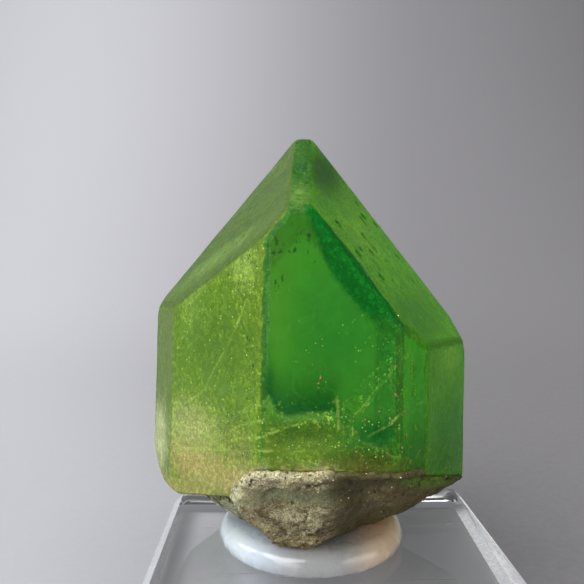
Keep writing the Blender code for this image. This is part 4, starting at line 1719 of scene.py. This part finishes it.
# %% [markdown]
# The paper is pale grey, and painted shade makes it darker to the right. Its tone follows a fan of
# lines that spread from FAN_START millimetres in front of the block's middle, which is the camera's
# own distance, so near and far paper have one tone in the camera's view. The fan lies still on the
# paper: no node reads the camera, and from another side it shows as a fan. Painted shade also
# makes the paper a little darker nearer than 260 mm behind the middle. Right under the clear block
# lies a paler patch, painted light for the light that the block throws on its own floor, which
# shadow rays leave out. Within the patch, painted shade darkens it to the right and along its
# left rim.

# %% The paper
FAN_START, FAN_NEAR = 56.0, 90.0
FAN_LEFT, FAN_RIGHT = -0.47, 0.24
PATCH_HALF = 15.8


def make_paper():
    mat, tree, shader = new_material("grey_paper")
    place = object_mm(tree)
    grain = effect(tree, "fine_grain", place, Size=0.8)["Grain"]
    sides = add(tree, "ShaderNodeSeparateXYZ", {"Vector": place}).outputs
    across = sides["X"]
    away = calculate(tree, "MAXIMUM", calculate(tree, "ADD", sides["Y"], FAN_START), FAN_NEAR)
    # fan: painted shade that darkens the paper to the right
    fan = ramp(tree, calculate(tree, "DIVIDE", across, away), FAN_LEFT, FAN_RIGHT)
    paper_shade_and_light = mix_colour(tree, fan, opaque(195, 195, 200), opaque(133, 131, 134))
    far = ramp(tree, sides["Y"], 60.0, 260.0)
    near = mix_colour(tree, far, opaque(240, 240, 240), opaque(255, 255, 255))
    paper_shade_and_light = mix_colour(tree, 1.0, paper_shade_and_light, near, "MULTIPLY")
    flat = add(tree, "ShaderNodeVectorMath", {0: place}, operation="ABSOLUTE").outputs["Vector"]
    parts = add(tree, "ShaderNodeSeparateXYZ", {"Vector": flat}).outputs
    reach = calculate(tree, "MAXIMUM", parts["X"], parts["Y"])
    # the pale patch is painted light; its darker right side and left rim are painted shade
    patch = ramp(tree, reach, PATCH_HALF, PATCH_HALF - 1.0)
    right, left_rim_shade = ramp(tree, across, -6.0, 12.0), ramp(tree, across, -14.5, -12.2)
    pale = mix_colour(tree, right, opaque(252, 252, 254), opaque(190, 190, 190))
    pale = mix_colour(tree, left_rim_shade, opaque(170, 169, 170), pale)
    paper_shade_and_light = mix_colour(tree, patch, paper_shade_and_light, pale)
    tone = mix_colour(tree, times(tree, grain, 0.06), paper_shade_and_light, opaque(255, 255, 255))
    join(tree, tone, shader.inputs["Base Color"])
    shader.inputs["Roughness"].default_value = 0.9
    return mat


sweep_mesh = bpy.data.meshes.new("sweep")
sweep_bm.to_mesh(sweep_mesh)
sweep_bm.free()
sweep_mesh.materials.append(make_paper())
sweep_mesh.shade_smooth()
sweep = bpy.data.objects.new("sweep", sweep_mesh)
bpy.context.scene.collection.objects.link(sweep)
print("sweep rises to", round(max(v.co.z for v in sweep_mesh.vertices), 2), "m")

# %% [markdown]
# ## Light
# A large soft lamp stands at the front left like a window. Two small ones lift the left faces
# and the rock below them, one hangs high up as a ceiling, and a warm weak one fills from the right.
# The last lights the backdrop from the left, so that it falls off to the right. The world fills
# the shadows with even grey.


# %% Lamps and world
def soft_lamp(name, place, target, size, power, colour):
    lamp = bpy.data.lights.new(name, "AREA")
    lamp.shape = "DISK"
    lamp.size, lamp.energy, lamp.color = size, power, colour
    ob = bpy.data.objects.new(name, lamp)
    ob.location = place
    ob.rotation_euler = (Vector(target) - Vector(place)).to_track_quat("-Z", "Y").to_euler()
    bpy.context.scene.collection.objects.link(ob)


# name, place and target in metres, size, power in watts, colour
LAMPS = [
    ("window", (-0.17, -0.18, 0.24), (0.0, 0.0, 0.02), 0.28, 1.05, (0.97, 0.98, 1.0)),
    ("left_fill", (-0.26, 0.00, 0.14), (0.0, 0.0, 0.02), 0.12, 0.18, (0.95, 0.98, 1.0)),
    ("low_fill", (-0.13, -0.22, 0.05), (0.0, 0.0, 0.01), 0.14, 0.16, (1.0, 0.98, 0.94)),
    ("ceiling", (0.0, -0.12, 0.60), (0.0, 0.0, 0.0), 0.50, 0.50, (1.0, 0.98, 0.96)),
    ("room_fill", (0.26, -0.16, 0.10), (0.0, 0.0, 0.02), 0.26, 0.34, (1.0, 0.93, 0.84)),
    ("backdrop_lamp", (-0.12, 0.10, 0.60), (0.10, 0.85, 0.35), 0.30, 4.5, (0.97, 0.98, 1.0)),
]
WORLD_GREY, WORLD_STRENGTH = (0.5, 0.5, 0.51, 1.0), 0.08
for lamp in LAMPS:
    soft_lamp(*lamp)
world = bpy.data.worlds.new("room_light")
world.use_nodes = True
world.node_tree.nodes["Background"].inputs["Color"].default_value = WORLD_GREY
world.node_tree.nodes["Background"].inputs["Strength"].default_value = WORLD_STRENGTH
bpy.context.scene.world = world
bpy.context.scene.view_settings.view_transform = "Standard"
print("lamps:", len(LAMPS), "with", round(sum(lamp[4] for lamp in LAMPS), 2), "watts in all")

# %% [markdown]
# ## Camera
# The camera looks at the specimen a little from above, close enough for the strong perspective
# of a small thing seen from a hand's width away.

# %% The camera
CAMERA_PLACE = Vector((-5.07, -56.09, 34.6)) * MM
CAMERA_TURN, CAMERA_LENS = (86.447, -0.282, -1.483), 39.76
eye = bpy.data.objects.new("camera", bpy.data.cameras.new("camera"))
eye.location = CAMERA_PLACE
eye.rotation_euler = [math.radians(angle) for angle in CAMERA_TURN]
eye.data.lens = CAMERA_LENS
eye.data.clip_start = 1.0 * MM
bpy.context.scene.collection.objects.link(eye)
bpy.context.scene.camera = eye
print("camera's distance from the block, mm:", round(CAMERA_PLACE.length / MM, 1))
